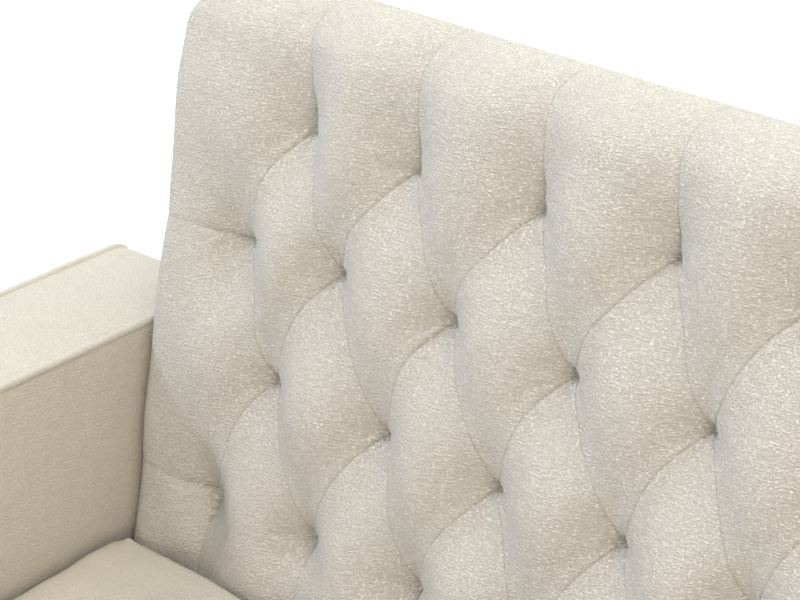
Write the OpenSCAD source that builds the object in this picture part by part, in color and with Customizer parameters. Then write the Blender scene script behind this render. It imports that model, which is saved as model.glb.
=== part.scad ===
// Upholstered sofa with a high diamond-tufted back that leans between two lower
// track arms. The front of the sofa faces -Y, its left arm lies at -X, and the
// origin is on the floor under the middle of the sofa.

/* [Overall] */
// Depth from the front of the arms to the top of the back
depth = 760; // [700:5:860]
// Height of the arms' top above the floor
arm_h = 609; // [560:1:660]
// Width of each arm
arm_w = 125; // [110:1:160]
// Height of the frame's underside above the floor
leg_h = 140; // [100:1:170]

/* [Tufted back] */
// Lean of the back from upright, in degrees
back_lean = 10.7; // [6:0.1:14]
// Number of tufts in the second and fourth rows
tuft_columns = 15; // [9:2:19]
// Distance between neighbouring tufts in a row
tuft_pitch = 105; // [90:1:115]
// Distance between rows of tufts, along the lean
row_pitch = 100; // [90:1:105]
// Height of the top row of tufts above the arms
top_row_rise = 174; // [160:1:190]
// From the outer tufts to the side of the back
side_margin = 67; // [60:1:80]
// Height of the back above the top row of tufts, along the lean
top_rise = 93; // [85:1:105]
// Height of the puffs over the bottoms of the tufts
puff_h = 38; // [28:1:40]
// Height of the diagonal seams over the bottoms of the tufts, at mid seam
seam_h = 23; // [16:1:27]
// Radius of the two top corners, seen from the front
back_corner_r = 45; // [40:1:55]
// Padding of the tufted cover behind the bottoms of the tufts
cover_back_t = 5; // [4:0.5:8]
// Thickness of the foam slab behind the tufted cover
back_foam_t = 28; // [20:1:40]
// Thickness of the drilled board behind the foam
back_board_t = 4.5; // [3:0.5:9]
// Thickness of the back frame's timber
back_frame_t = 20; // [18:1:26]
// Radius of the crown over the edge band
band_crown_r = 47; // [44:1:70]
// Thickness of the edge band at its two edges
band_edge_t = 4; // [3:0.5:6]

/* [Seat] */
// Height of the deck that the cushions lie on
deck_h = 290; // [270:1:310]
// Height of the seat cushions at their upper seam
cushion_h = 140; // [120:1:150]
// Rise of the cushions' crown above the upper seam
cushion_crown = 20; // [10:1:30]
// Radius of the cushions' corners, seen from above
cushion_corner_r = 34; // [24:1:45]
// How far a side of the cushion pulls in between its corners
cushion_draw_in = 6; // [2:1:10]
// Radius of the cushions' upper and lower edges
cushion_edge_r = 16; // [10:1:24]
// Thickness of the cushion's fibre wrap and cover over its foam
cushion_wrap_t = 20; // [14:1:26]
// Gap between the cushions, and between a cushion and an arm
cushion_gap = 3; // [2:0.5:6]
// Setback of the seat front behind the arm fronts
seat_setback = 8; // [4:1:20]
// Number of springs under the seat
spring_count = 8; // [6:1:10]

/* [Covers and padding] */
// Thickness of the upholstery fabric with its backing
cover_t = 2; // [1.5:0.25:3]
// Thickness of the padding on the arms
arm_pad_t = 8; // [6:1:12]
// Thickness of the padding on the front of the seat
border_pad_t = 10; // [6:1:14]
// Diameter of the piping on the arms
welt_d = 7; // [6:0.5:9]
// How far the piping stands proud of the arm
welt_proud = 2; // [1:0.25:3]
// Radius of the arms' top corners, seen from the side
arm_corner_r = 18; // [15:1:30]
// Thickness of the foam on the deck
deck_pad_t = 12; // [8:1:16]
// Thickness of the burlap over the springs
burlap_t = 1.5; // [1:0.25:2]
// Thickness of the cloth under the seat
dust_t = 1.5; // [1:0.25:2]

/* [Timber frame] */
// Thickness of the seat rails
rail_t = 25; // [20:1:32]
// Thickness of the arm posts and rails
post_t = 25; // [20:1:32]
// Thickness of the boards that close the arms
arm_board_t = 4; // [3:0.5:6]
// Width of the two studs in the middle of the back
stud_w = 30; // [20:1:34]
// Height of the top and bottom timbers of the back
back_rail_w = 60; // [50:1:70]
// Width of the stretchers under the seat
stretcher_w = 45; // [35:1:60]
// Length of the sides of a corner block
corner_block_w = 70; // [50:1:90]

/* [Legs and fittings] */
// Diameter of a leg at its top
leg_top_d = 46; // [40:1:56]
// Diameter of a leg at its foot
leg_foot_d = 30; // [24:1:36]
// From the outer faces of the sofa to the middle of a leg
leg_inset = 62; // [58:1:80]
// Width of a leg plate
plate_w = 70; // [60:1:80]
// Thickness of a leg plate
plate_t = 3; // [2:0.5:4]
// Diameter of the bolt in a leg
leg_bolt_d = 8; // [6:1:10]
// Length of the bolt in a leg
leg_bolt_l = 40; // [30:1:55]
// Diameter of a leg's glide
glide_d = 22; // [16:1:26]
// Thickness of a leg's glide
glide_t = 4; // [3:0.5:6]
// Diameter of the bolts that join arms, seat and back
frame_bolt_d = 6; // [5:0.5:8]
// Depth of those bolts in the arm's timber
frame_bolt_grip = 40; // [30:1:50]
// Diameter of the wooden dowels between back and seat
dowel_d = 10; // [8:1:12]
// Length of those dowels
dowel_l = 60; // [40:1:80]
// Diameter of the spring wire
wire_d = 4; // [3:0.25:4.5]
// Width of a spring across its bends
spring_w = 56; // [40:1:60]
// Length along the spring of one bend
spring_bend = 32; // [26:1:40]

/* [Hidden] */
// Overrun of every cut, and the clearance round bolts and dowels
cut_over = 1;
bolt_play = 0.2;
// Clearance between a cushion and what it rests on or against
rest_gap = 0.3;
// Looseness of the back's outside cover and edge band on what they enclose
cover_play = 0.1;

// The back's own frame: u runs up along the lean from the top row of tufts, and
// w runs forwards, square to it, from the bottoms of the tufts
row_count = 4;
foam_front_w = -cover_back_t;
board_front_w = foam_front_w - back_foam_t;
frame_front_w = board_front_w - back_board_t;
frame_rear_w = frame_front_w - back_frame_t;
back_rear_w = frame_rear_w - cover_t;
tuft_z = arm_h + top_row_rise;

// Edge band: a strip with a round crown, over the top and down both sides
band_w = -back_rear_w - cover_back_t;
band_drop = band_crown_r - sqrt(pow(band_crown_r, 2) - pow(band_w / 2, 2));
band_t = band_drop + band_edge_t;
tuft_y = depth / 2 - (top_rise - band_drop) * sin(back_lean) + back_rear_w * cos(back_lean);

function lean_y(u, w) = tuft_y + u * sin(back_lean) - w * cos(back_lean);
function lean_u(z, w) = (z - tuft_z - w * sin(back_lean)) / cos(back_lean);
function y_at(z, w) = tuft_y + (z - tuft_z) * tan(back_lean) - w / cos(back_lean);

// Widths
outer_tuft_x = (tuft_columns - 1) / 2 * tuft_pitch;
inner_x = outer_tuft_x + side_margin;
outer_x = inner_x + arm_w;
back_x = inner_x - rest_gap;
frame_x = back_x - band_t;
frame_top_u = top_rise - band_t;
frame_corner_r = back_corner_r - band_t;
top_rail_u = frame_top_u - back_rail_w;

// Twines and anchors of the tufts
twine_d = 3;
foam_hole_d = 10;
board_hole_d = 6;
anchor_d = 16;
anchor_t = 4;
stile_w = frame_x - outer_tuft_x - anchor_d;
stud_x = (floor(tuft_columns / 6) + 0.25) * tuft_pitch;

// Fronts and levels
arm_front_y = -depth / 2 + welt_proud;
border_y = arm_front_y + seat_setback;
rail_front_y = border_y + cover_t + border_pad_t;
deck_pad_z = deck_h - cover_t - deck_pad_t;
rail_top_z = deck_pad_z - burlap_t - wire_d;
rail_low_z = leg_h + dust_t;

// Arm layers, from a face inwards; the piping lies in a step along the edges
arm_inset = cover_t + arm_pad_t;
piping_step = welt_d - welt_proud;
piping_inset = welt_d / 2 - welt_proud;
arm_core_x = inner_x + arm_inset + arm_board_t;
arm_core_w = arm_w - 2 * (arm_inset + arm_board_t);

// Seat cushions: two, side by side
cushion_rear_y = y_at(deck_h + cushion_h, puff_h) - rest_gap;
cushion_d = cushion_rear_y - border_y;
cushion_w = inner_x - 1.5 * cushion_gap;
cushion_x = (cushion_w + cushion_gap) / 2;

// Seat timbers
stretcher_h_share = 0.55;
stretcher_h = (rail_top_z - rail_low_z) * stretcher_h_share;
stretcher_x_share = 0.36;
stretcher_x = inner_x * stretcher_x_share;
seat_rear_y = y_at(rail_top_z, frame_front_w);

// Legs
leg_x = outer_x - leg_inset;
front_leg_y = arm_front_y + leg_inset;
rear_leg_y = y_at(leg_h, back_rear_w) - leg_inset;
centre_leg_y = (front_leg_y + rear_leg_y) / 2;

// Bolts that hold the arms, as shares of the span they hold
arm_bolt_y_shares = [0.2, 0.5, 0.8];
arm_bolt_z = leg_h + post_t / 2 + dust_t;
leg_bolt_up = post_t / 2;
back_bolt_z_shares = [0.25, 0.75];
bolt_head_d = 2 * frame_bolt_d;
bolt_head_t = 0.7 * frame_bolt_d;
back_bolt_w = (frame_front_w + back_rear_w + arm_inset) / 2;
dowel_places = [-frame_x + stile_w / 2, -stud_x, stud_x, frame_x - stile_w / 2];

// Net of the tufted cover: four steps to a tuft pitch and four to a row pitch
steps = 4;
inner_n = (tuft_columns - 1) * steps / 2;
edge_n = 4;
side_n = inner_n + edge_n;
top_n = 4;
zone_n = (row_count - 1) * steps;
low_n = 2;
last_row = top_n + zone_n + low_n;
// Rows above the top tufts: share of the way to the top edge, and the heights
// of the upright seams and of the panels between them as shares of puff_h
top_row_shares = [[1, 0, 0], [0.91, 0.2, 0.38], [0.66, 0.42, 0.76], [0.32, 0.36, 0.9]];
// The row below the last tufts, as a share of the way to the deck, and the same
low_row_shares = [0.3, 0.5, 0.86];
// Steps from the outer tufts to the side: across, and towards the edge's height
edge_across_shares = [[0, 0], [1, 0.36], [2, 0.72], [3, 0.96], [4, 1]];
edge_blend_shares = [[0, 0], [1, 0.78], [2, 1], [4, 1]];
edge_height_shares = [[0, 1], [1, 0.95], [2, 0.86], [3, 0.45], [4, 0]];
edge_seam_share = 0.8;

// Shared shapes

// Puts a piece drawn in the back's own frame, x, -w and u, into place
module leaned() {
    translate([0, tuft_y, tuft_z]) rotate([-back_lean, 0, 0]) children();
}

// A piece drawn on the right-hand side, put on either side
module on_side(side) {
    mirror([side < 0 ? 1 : 0, 0, 0]) children();
}

// A block from one corner to the other
module block(low, high) {
    translate(low) cube(high - low);
}

// An outline in y and z, made into a piece that reaches across from x to x + wide
module across(x, wide) {
    translate([x, 0, 0]) rotate([90, 0, 90]) linear_extrude(wide) children();
}

// An outline in x and u, made into a layer of the back between two depths
module back_layer(front_w, rear_w) {
    leaned() translate([0, -rear_w, 0]) rotate([90, 0, 0]) linear_extrude(front_w - rear_w) children();
}

// A timber that leans with the back and is cut level at its two ends
module leaned_timber(x, wide, low_z, high_z) {
    across(x, wide) polygon([
        [y_at(low_z, frame_front_w), low_z], [y_at(low_z, frame_rear_w), low_z],
        [y_at(high_z, frame_rear_w), high_z], [y_at(high_z, frame_front_w), high_z]
    ]);
}

// Outline of the back with its two round top corners
module back_outline(half, low, top, r) {
    translate([-half, low]) square([2 * half, top - r - low]);
    translate([r - half, low]) square([2 * (half - r), top - low]);
    for (side = [-1, 1]) translate([side * (half - r), top - r]) circle(r, $fn = 96);
}

// Places of the tufts: two rows of tuft_columns, and two rows of one fewer that
// stand half a pitch over
function row_tufts(row) = tuft_columns - 1 + row % 2;
module at_tufts() {
    for (row = [0 : row_count - 1], k = [0 : row_tufts(row) - 1])
        translate([(k - (row_tufts(row) - 1) / 2) * tuft_pitch, -row * row_pitch]) children();
}

// Outline of an arm, seen from its side, drawn in by t along its front, top and rear
function arm_rear_y(z, t) = y_at(z, back_rear_w) - t / cos(back_lean);
function arm_rear_centre_y(t) =
    arm_rear_y(arm_h - t, t) - (arm_corner_r - t) * (1 + sin(back_lean)) / cos(back_lean);
module arm_outline(t, low = leg_h) {
    r = arm_corner_r - t;
    front = arm_front_y + t;
    top = arm_h - t;
    rear_y = arm_rear_centre_y(t);
    polygon([
        [front, low], [arm_rear_y(low, t), low],
        [rear_y + r * cos(back_lean), top - r - r * sin(back_lean)],
        [rear_y, top - r], [rear_y, top], [front + r, top],
        [front + r, top - r], [front, top - r]
    ]);
    translate([front + r, top - r]) circle(r, $fn = 96);
    translate([rear_y, top - r]) circle(r, $fn = 96);
}
module arm_ring(outer_t, inner_t) {
    difference() {
        arm_outline(outer_t);
        arm_outline(inner_t, leg_h - cut_over);
    }
}

// Bores and bolts that join an arm to the seat rail and to the back's upright
function arm_bolt_y(share) = rail_front_y + rail_t + share * (seat_rear_y - rail_front_y - rail_t);
back_bolt_low_z = deck_h + back_rail_w + bolt_head_d;
function back_bolt_z(share) = back_bolt_low_z + share * (arm_h - arm_inset - post_t - back_bolt_low_z);
module arm_bolt_bores(d) {
    for (share = arm_bolt_y_shares)
        translate([inner_x - rail_t, arm_bolt_y(share), arm_bolt_z]) rotate([0, 90, 0])
            cylinder(d = d, h = rail_t + arm_inset + arm_board_t + frame_bolt_grip, $fn = 32);
}
module back_bolt_bores(d) {
    for (share = back_bolt_z_shares)
        translate([frame_x - stile_w, y_at(back_bolt_z(share), back_bolt_w), back_bolt_z(share)])
            rotate([0, 90, 0])
                cylinder(d = d, h = arm_core_x - frame_x + stile_w + frame_bolt_grip, $fn = 32);
}
module bolt_heads(x) {
    translate([x - bolt_head_t, 0, 0]) rotate([0, 90, 0]) cylinder(d = bolt_head_d, h = bolt_head_t, $fn = 48);
}
bolt_bore_d = frame_bolt_d + 2 * bolt_play;
module drilled_arm() {
    difference() {
        children();
        arm_bolt_bores(bolt_bore_d);
        back_bolt_bores(bolt_bore_d);
    }
}

// Legs and fittings

leg_bore_d = leg_bolt_d + 2 * bolt_play;
module leg(x, y, top_z) {
    color("saddlebrown") translate([x, y, 0]) difference() {
        translate([0, 0, glide_t]) cylinder(d1 = leg_foot_d, d2 = leg_top_d, h = top_z - glide_t, $fn = 96);
        translate([0, 0, top_z + plate_t + leg_bolt_up - leg_bolt_l - bolt_play])
            cylinder(d = leg_bore_d, h = leg_bolt_l, $fn = 48);
    }
}
leg_places = [
    [-leg_x, front_leg_y, leg_h], [leg_x, front_leg_y, leg_h],
    [-leg_x, rear_leg_y, leg_h], [leg_x, rear_leg_y, leg_h], [0, centre_leg_y, rail_low_z]
];
module leg_at(place) {
    leg(place.x, place.y, place.z - plate_t);
}
module front_left_leg() { leg_at(leg_places[0]); }
module front_right_leg() { leg_at(leg_places[1]); }
module rear_left_leg() { leg_at(leg_places[2]); }
module rear_right_leg() { leg_at(leg_places[3]); }
module centre_leg() { leg_at(leg_places[4]); }
module leg_plates() {
    color("dimgray") for (place = leg_places)
        translate([place.x, place.y, place.z - plate_t]) difference() {
            translate([-plate_w / 2, -plate_w / 2, 0]) cube([plate_w, plate_w, plate_t]);
            translate([0, 0, -cut_over]) cylinder(d = leg_bore_d, h = plate_t + 2 * cut_over, $fn = 48);
        }
}
module leg_bolts() {
    color("silver") for (place = leg_places)
        translate([place.x, place.y, place.z + leg_bolt_up - leg_bolt_l])
            cylinder(d = leg_bolt_d, h = leg_bolt_l, $fn = 48);
}
module leg_glides() {
    color("black") for (place = leg_places)
        translate([place.x, place.y, 0]) cylinder(d = glide_d, h = glide_t, $fn = 64);
}

// Seat frame

module front_rail() {
    color("burlywood")
        block([-inner_x, rail_front_y, rail_low_z], [inner_x, rail_front_y + rail_t, rail_top_z]);
}
dowel_w = (frame_front_w + frame_rear_w) / 2;
module dowels(play) {
    leaned() for (x = dowel_places)
        translate([x, -dowel_w, lean_u(rail_top_z, dowel_w) - dowel_l / 2 - play])
            cylinder(d = dowel_d + 2 * play, h = dowel_l + 2 * play, $fn = 48);
}
module rear_rail() {
    color("burlywood") difference() {
        leaned_timber(-inner_x, 2 * inner_x, rail_low_z, rail_top_z);
        dowels(bolt_play);
    }
}
module side_rail() {
    color("burlywood") difference() {
        across(inner_x - rail_t, rail_t) polygon([
            [rail_front_y + rail_t, rail_low_z], [y_at(rail_low_z, frame_front_w), rail_low_z],
            [seat_rear_y, rail_top_z], [rail_front_y + rail_t, rail_top_z]
        ]);
        arm_bolt_bores(bolt_bore_d);
    }
}
module left_side_rail() { on_side(-1) side_rail(); }
module right_side_rail() { on_side(1) side_rail(); }

// Two stretchers from front to back, and one between them that the centre leg holds up
module seat_stretchers() {
    color("burlywood") {
        for (side = [-1, 1]) across(side * stretcher_x - stretcher_w / 2, stretcher_w) polygon([
            [rail_front_y + rail_t, rail_low_z], [y_at(rail_low_z, frame_front_w), rail_low_z],
            [y_at(rail_low_z + stretcher_h, frame_front_w), rail_low_z + stretcher_h],
            [rail_front_y + rail_t, rail_low_z + stretcher_h]
        ]);
        difference() {
            block([stretcher_w / 2 - stretcher_x, centre_leg_y - plate_w / 2, rail_low_z],
                  [stretcher_x - stretcher_w / 2, centre_leg_y + plate_w / 2, rail_low_z + stretcher_h]);
            translate([0, centre_leg_y, rail_low_z - cut_over])
                cylinder(d = leg_bore_d, h = cut_over + leg_bolt_up + bolt_play, $fn = 48);
        }
    }
}

// Three-cornered blocks glued into the four corners
module corner_block() {
    linear_extrude(corner_block_w) polygon([[0, 0], [0, corner_block_w], [-corner_block_w, 0]]);
}
module corner_blocks() {
    color("tan") for (side = [-1, 1]) on_side(side) {
        translate([inner_x - rail_t, rail_front_y + rail_t, rail_top_z - corner_block_w]) corner_block();
        leaned() translate([inner_x - rail_t, -frame_front_w, lean_u(rail_low_z, frame_front_w)])
            mirror([0, 1, 0]) corner_block();
    }
}

// Zigzag springs from the front rail to the rear rail, held by clips on both
spring_span = seat_rear_y - rail_front_y - rail_t / 2 + back_frame_t / 2;
spring_bends = floor(spring_span / spring_bend);
spring_step = spring_span / spring_bends;
bend_r = spring_step / 2;
bend_turns = 4;
function spring_x(k) = (k - (spring_count - 1) / 2) * 2 * inner_x / spring_count;
function bend_points(k, r) = [
    for (t = [0 : bend_turns])
        let (side = k % 2 == 0 ? 1 : -1, a = 180 * t / bend_turns)
        [side * (spring_w / 2 - wire_d / 2 - bend_r + r * sin(a)), (k + 0.5) * spring_step - r * cos(a)]
];
module spring() {
    linear_extrude(wire_d) polygon(concat(
        [for (k = [0 : spring_bends - 1]) each bend_points(k, bend_r + (k % 2 == 0 ? 1 : -1) * wire_d / 2)],
        [for (k = [spring_bends - 1 : -1 : 0], p = [bend_turns : -1 : 0])
            bend_points(k, bend_r - (k % 2 == 0 ? 1 : -1) * wire_d / 2)[p]]
    ));
}
module seat_springs() {
    color("gray") for (k = [0 : spring_count - 1])
        translate([spring_x(k), rail_front_y + rail_t / 2, rail_top_z]) spring();
}
// A clip on the rail at each end of each spring, against the end of the wire
clip_w = 4 * wire_d;
clip_l = (back_frame_t - wire_d) / 3;
module spring_clips() {
    end_x = spring_w / 2 - wire_d / 2 - bend_r;
    last_side = spring_bends % 2 == 0 ? -1 : 1;
    color("lightgray") for (k = [0 : spring_count - 1])
        translate([spring_x(k), rail_front_y + rail_t / 2, rail_top_z]) {
            translate([end_x - clip_w / 2, -wire_d / 2 - clip_l, 0]) cube([clip_w, clip_l, wire_d]);
            translate([last_side * end_x - clip_w / 2, spring_span + wire_d / 2, 0])
                cube([clip_w, clip_l, wire_d]);
        }
}

// Deck over the springs
module deck_layer(low_z, high_z) {
    block([-inner_x, rail_front_y, low_z], [inner_x, y_at(low_z, frame_front_w), high_z]);
}
module seat_burlap() { color("peru") deck_layer(rail_top_z + wire_d, deck_pad_z); }
module deck_pad() { color("khaki") deck_layer(deck_pad_z, deck_h - cover_t); }
module deck_cover() { color("linen") deck_layer(deck_h - cover_t, deck_h); }
module front_border_pad() {
    color("khaki") block([-inner_x, border_y + cover_t, leg_h], [inner_x, rail_front_y, deck_h]);
}
module front_border_cover() {
    color("linen") block([-inner_x, border_y, leg_h], [inner_x, border_y + cover_t, deck_h]);
}
module dust_cover() {
    color("black") difference() {
        block([-inner_x, rail_front_y, leg_h], [inner_x, y_at(leg_h, frame_rear_w), rail_low_z]);
        translate([-plate_w / 2 - cut_over, centre_leg_y - plate_w / 2 - cut_over, leg_h - cut_over])
            cube([plate_w + 2 * cut_over, plate_w + 2 * cut_over, dust_t + 2 * cut_over]);
    }
}
module arm_bolts() {
    color("silver") for (side = [-1, 1]) on_side(side) {
        arm_bolt_bores(frame_bolt_d);
        for (share = arm_bolt_y_shares)
            translate([0, arm_bolt_y(share), arm_bolt_z]) bolt_heads(inner_x - rail_t);
    }
}

// Arms

module arm_front_post() {
    color("burlywood") block(
        [arm_core_x, arm_front_y + arm_inset, leg_h + post_t],
        [arm_core_x + arm_core_w, arm_front_y + arm_inset + post_t, arm_h - arm_inset - post_t]);
}
module arm_rear_post() {
    low = leg_h + post_t;
    high = arm_h - arm_inset - post_t;
    color("burlywood") drilled_arm() across(arm_core_x, arm_core_w) intersection() {
        arm_outline(arm_inset);
        polygon([[arm_rear_y(low, arm_inset + post_t), low], [depth, low], [depth, high],
            [arm_rear_y(high, arm_inset + post_t), high]]);
    }
}
module arm_level_timber(low) {
    across(arm_core_x, arm_core_w) intersection() {
        arm_outline(arm_inset);
        translate([-depth, low]) square([2 * depth, post_t]);
    }
}
module arm_top_rail() {
    color("burlywood") arm_level_timber(arm_h - arm_inset - post_t);
}
module arm_bottom_rail() {
    color("burlywood") drilled_arm() difference() {
        arm_level_timber(leg_h);
        for (y = [front_leg_y, rear_leg_y]) translate([leg_x, y, leg_h - cut_over])
            cylinder(d = leg_bore_d, h = cut_over + leg_bolt_up + bolt_play, $fn = 48);
    }
}
module arm_boards() {
    color("sienna") drilled_arm() for (x = [arm_core_x - arm_board_t, arm_core_x + arm_core_w])
        across(x, arm_board_t) arm_outline(arm_inset);
}
module arm_padding() {
    color("khaki") drilled_arm() {
        for (x = [inner_x + cover_t, outer_x - arm_inset]) across(x, arm_pad_t) arm_outline(piping_step);
        across(inner_x + arm_inset, arm_w - 2 * arm_inset) arm_ring(cover_t, arm_inset);
    }
}
module arm_side_covers() {
    color("linen") drilled_arm()
        for (x = [inner_x, outer_x - cover_t]) across(x, cover_t) arm_outline(piping_step);
}
module arm_boxing() {
    color("linen") across(inner_x + welt_d, arm_w - 2 * welt_d) arm_ring(0, cover_t);
}

// Piping: up the front edge, along the top and down the rear edge of each face,
// in the step between the side cover and the boxing
module piping_bend(y, start, angle) {
    translate([0, y, arm_h - arm_corner_r]) rotate([90, 0, 90]) rotate([0, 0, start]) {
        rotate_extrude(angle = angle, $fn = 96)
            translate([arm_corner_r - piping_inset, 0]) circle(d = welt_d, $fn = 32);
        children();
    }
}
module arm_piping_run() {
    r = arm_corner_r - piping_inset;
    front_y = arm_front_y + arm_corner_r;
    rear_y = arm_rear_centre_y(piping_inset);
    axis_z = arm_h - arm_corner_r;
    rear_l = (axis_z - leg_h - (r + welt_d / 2) * sin(back_lean)) / cos(back_lean);
    translate([0, arm_front_y + piping_inset, leg_h]) cylinder(d = welt_d, h = axis_z - leg_h, $fn = 32);
    piping_bend(front_y, 90, 90);
    translate([0, front_y, axis_z + r]) rotate([-90, 0, 0])
        cylinder(d = welt_d, h = rear_y - front_y, $fn = 32);
    piping_bend(rear_y, -back_lean, 90 + back_lean)
        translate([r, 0, 0]) rotate([90, 0, 0]) cylinder(d = welt_d, h = rear_l, $fn = 32);
}
module arm_piping() {
    color("antiquewhite") for (x = [inner_x + welt_d / 2, outer_x - welt_d / 2])
        translate([x, 0, 0]) arm_piping_run();
}
module left_arm_front_post() { on_side(-1) arm_front_post(); }
module left_arm_rear_post() { on_side(-1) arm_rear_post(); }
module left_arm_top_rail() { on_side(-1) arm_top_rail(); }
module left_arm_bottom_rail() { on_side(-1) arm_bottom_rail(); }
module left_arm_boards() { on_side(-1) arm_boards(); }
module left_arm_padding() { on_side(-1) arm_padding(); }
module left_arm_side_covers() { on_side(-1) arm_side_covers(); }
module left_arm_boxing() { on_side(-1) arm_boxing(); }
module left_arm_piping() { on_side(-1) arm_piping(); }
module right_arm_front_post() { on_side(1) arm_front_post(); }
module right_arm_rear_post() { on_side(1) arm_rear_post(); }
module right_arm_top_rail() { on_side(1) arm_top_rail(); }
module right_arm_bottom_rail() { on_side(1) arm_bottom_rail(); }
module right_arm_boards() { on_side(1) arm_boards(); }
module right_arm_padding() { on_side(1) arm_padding(); }
module right_arm_side_covers() { on_side(1) arm_side_covers(); }
module right_arm_boxing() { on_side(1) arm_boxing(); }
module right_arm_piping() { on_side(1) arm_piping(); }

// Frame of the back

function lean_z(u, w) = tuft_z + u * cos(back_lean) + w * sin(back_lean);
module upright(x, wide) {
    across(x, wide) polygon([
        [y_at(rail_top_z, frame_front_w), rail_top_z], [y_at(rail_top_z, frame_rear_w), rail_top_z],
        [lean_y(top_rail_u, frame_rear_w), lean_z(top_rail_u, frame_rear_w)],
        [lean_y(top_rail_u, frame_front_w), lean_z(top_rail_u, frame_front_w)]
    ]);
}
module back_stile() {
    color("burlywood") difference() {
        upright(frame_x - stile_w, stile_w);
        dowels(bolt_play);
        back_bolt_bores(bolt_bore_d);
    }
}
module back_left_stile() { on_side(-1) back_stile(); }
module back_right_stile() { on_side(1) back_stile(); }
module back_studs() {
    color("burlywood") difference() {
        for (side = [-1, 1]) upright(side * stud_x - stud_w / 2, stud_w);
        dowels(bolt_play);
    }
}
module back_top_rail() {
    color("burlywood") back_layer(frame_front_w, frame_rear_w) intersection() {
        back_outline(frame_x, top_rail_u - frame_corner_r, frame_top_u, frame_corner_r);
        translate([-outer_x, top_rail_u]) square([2 * outer_x, top_rise]);
    }
}

// Bottom timber of the back, in three lengths between the uprights
module back_bottom_rail() {
    edges = [
        [-frame_x + stile_w, -stud_x - stud_w / 2], [-stud_x + stud_w / 2, stud_x - stud_w / 2],
        [stud_x + stud_w / 2, frame_x - stile_w]
    ];
    color("burlywood") for (edge = edges)
        leaned_timber(edge[0], edge[1] - edge[0], deck_h, deck_h + back_rail_w);
}
module back_dowels() { color("wheat") dowels(0); }
module back_bolts() {
    color("silver") for (side = [-1, 1]) on_side(side) {
        back_bolt_bores(frame_bolt_d);
        for (share = back_bolt_z_shares)
            translate([0, y_at(back_bolt_z(share), back_bolt_w), back_bolt_z(share)])
                bolt_heads(frame_x - stile_w);
    }
}

// Layers of the back

module back_board() {
    color("sienna") back_layer(board_front_w, frame_front_w) difference() {
        back_outline(frame_x, lean_u(deck_h, frame_front_w), frame_top_u, frame_corner_r);
        at_tufts() circle(d = board_hole_d, $fn = 24);
    }
}
module back_foam() {
    color("khaki") back_layer(foam_front_w, board_front_w) difference() {
        back_outline(frame_x, lean_u(deck_h, board_front_w), frame_top_u, frame_corner_r);
        at_tufts() circle(d = foam_hole_d, $fn = 24);
    }
}
module tuft_twines() {
    color("white") back_layer(foam_front_w, frame_front_w) at_tufts() circle(d = twine_d, $fn = 16);
}
module tuft_anchors() {
    color("black") back_layer(frame_front_w, frame_front_w - anchor_t)
        at_tufts() circle(d = anchor_d, $fn = 48);
}
module back_outside_cover() {
    low_u = lean_u(leg_h, back_rear_w);
    color("linen") back_layer(frame_rear_w - cover_play, back_rear_w) {
        back_outline(frame_x, low_u, frame_top_u, frame_corner_r);
        translate([-inner_x, low_u]) square([2 * inner_x, lean_u(deck_h, frame_rear_w) - low_u]);
    }
}

// Padded band over the top and down both sides of the back, with a round crown
module band_profile() {
    intersection() {
        translate([frame_corner_r + cover_play, 0]) square([band_t, band_w]);
        translate([back_corner_r - band_crown_r, band_w / 2]) circle(band_crown_r, $fn = 192);
    }
}
module back_edge_band() {
    corner_x = back_x - back_corner_r;
    corner_u = top_rise - back_corner_r;
    side_l = corner_u - lean_u(leg_h, frame_rear_w);
    color("linen") difference() {
        intersection() {
            leaned() translate([0, -back_rear_w, 0]) rotate([90, 0, 0]) {
                for (side = [-1, 1]) on_side(side) translate([corner_x, corner_u, 0]) {
                    rotate_extrude(angle = 90, $fn = 192) band_profile();
                    rotate([90, 0, 0]) linear_extrude(side_l) band_profile();
                }
                translate([-corner_x, corner_u, 0]) rotate([90, 0, 90])
                    linear_extrude(2 * corner_x) band_profile();
            }
            block([-outer_x, -depth, deck_h], [outer_x, depth, tuft_z + 2 * top_rise]);
        }
        for (side = [-1, 1]) on_side(side) back_bolt_bores(bolt_bore_d);
    }
}

// Tufted cover: rows of points from the top edge down to the deck. Between the
// first and the last tufts every second row stands half a step over, so that the
// diagonal seams run from point to point.
function zone_step(m) = m - top_n;
function half_row(m) = zone_step(m) > 0 && zone_step(m) < zone_n && zone_step(m) % 2 == 1;
function row_steps(m) = half_row(m)
    ? concat([-side_n], [for (i = [-side_n : side_n - 1]) i + 0.5], [side_n])
    : [for (i = [-side_n : side_n]) i];
top_edge_u = top_rise - band_drop;
low_edge_u = lean_u(deck_h, foam_front_w);
last_tuft_u = -(row_count - 1) * row_pitch;
function row_u(m) =
    m < top_n ? top_row_shares[m][0] * top_edge_u :
    m <= top_n + zone_n ? -zone_step(m) * row_pitch / steps :
    m == last_row ? low_edge_u : last_tuft_u + low_row_shares[0] * (low_edge_u - last_tuft_u);

// Half width of the cover at a height, with the round top corners
cover_x = back_x - band_drop;
cover_corner_r = back_corner_r - band_drop;
function cover_half(u) =
    let (over = max(0, u - top_edge_u + cover_corner_r))
    cover_x - cover_corner_r + sqrt(max(0, pow(cover_corner_r, 2) - pow(over, 2)));
function step_x(i, u) =
    let (past = abs(i) - inner_n, way = past > 0 ? lookup(past, edge_across_shares) : 0)
    past <= 0 ? i * tuft_pitch / steps :
    sign(i) * (outer_tuft_x + way * (cover_half(u) - outer_tuft_x));

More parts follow.
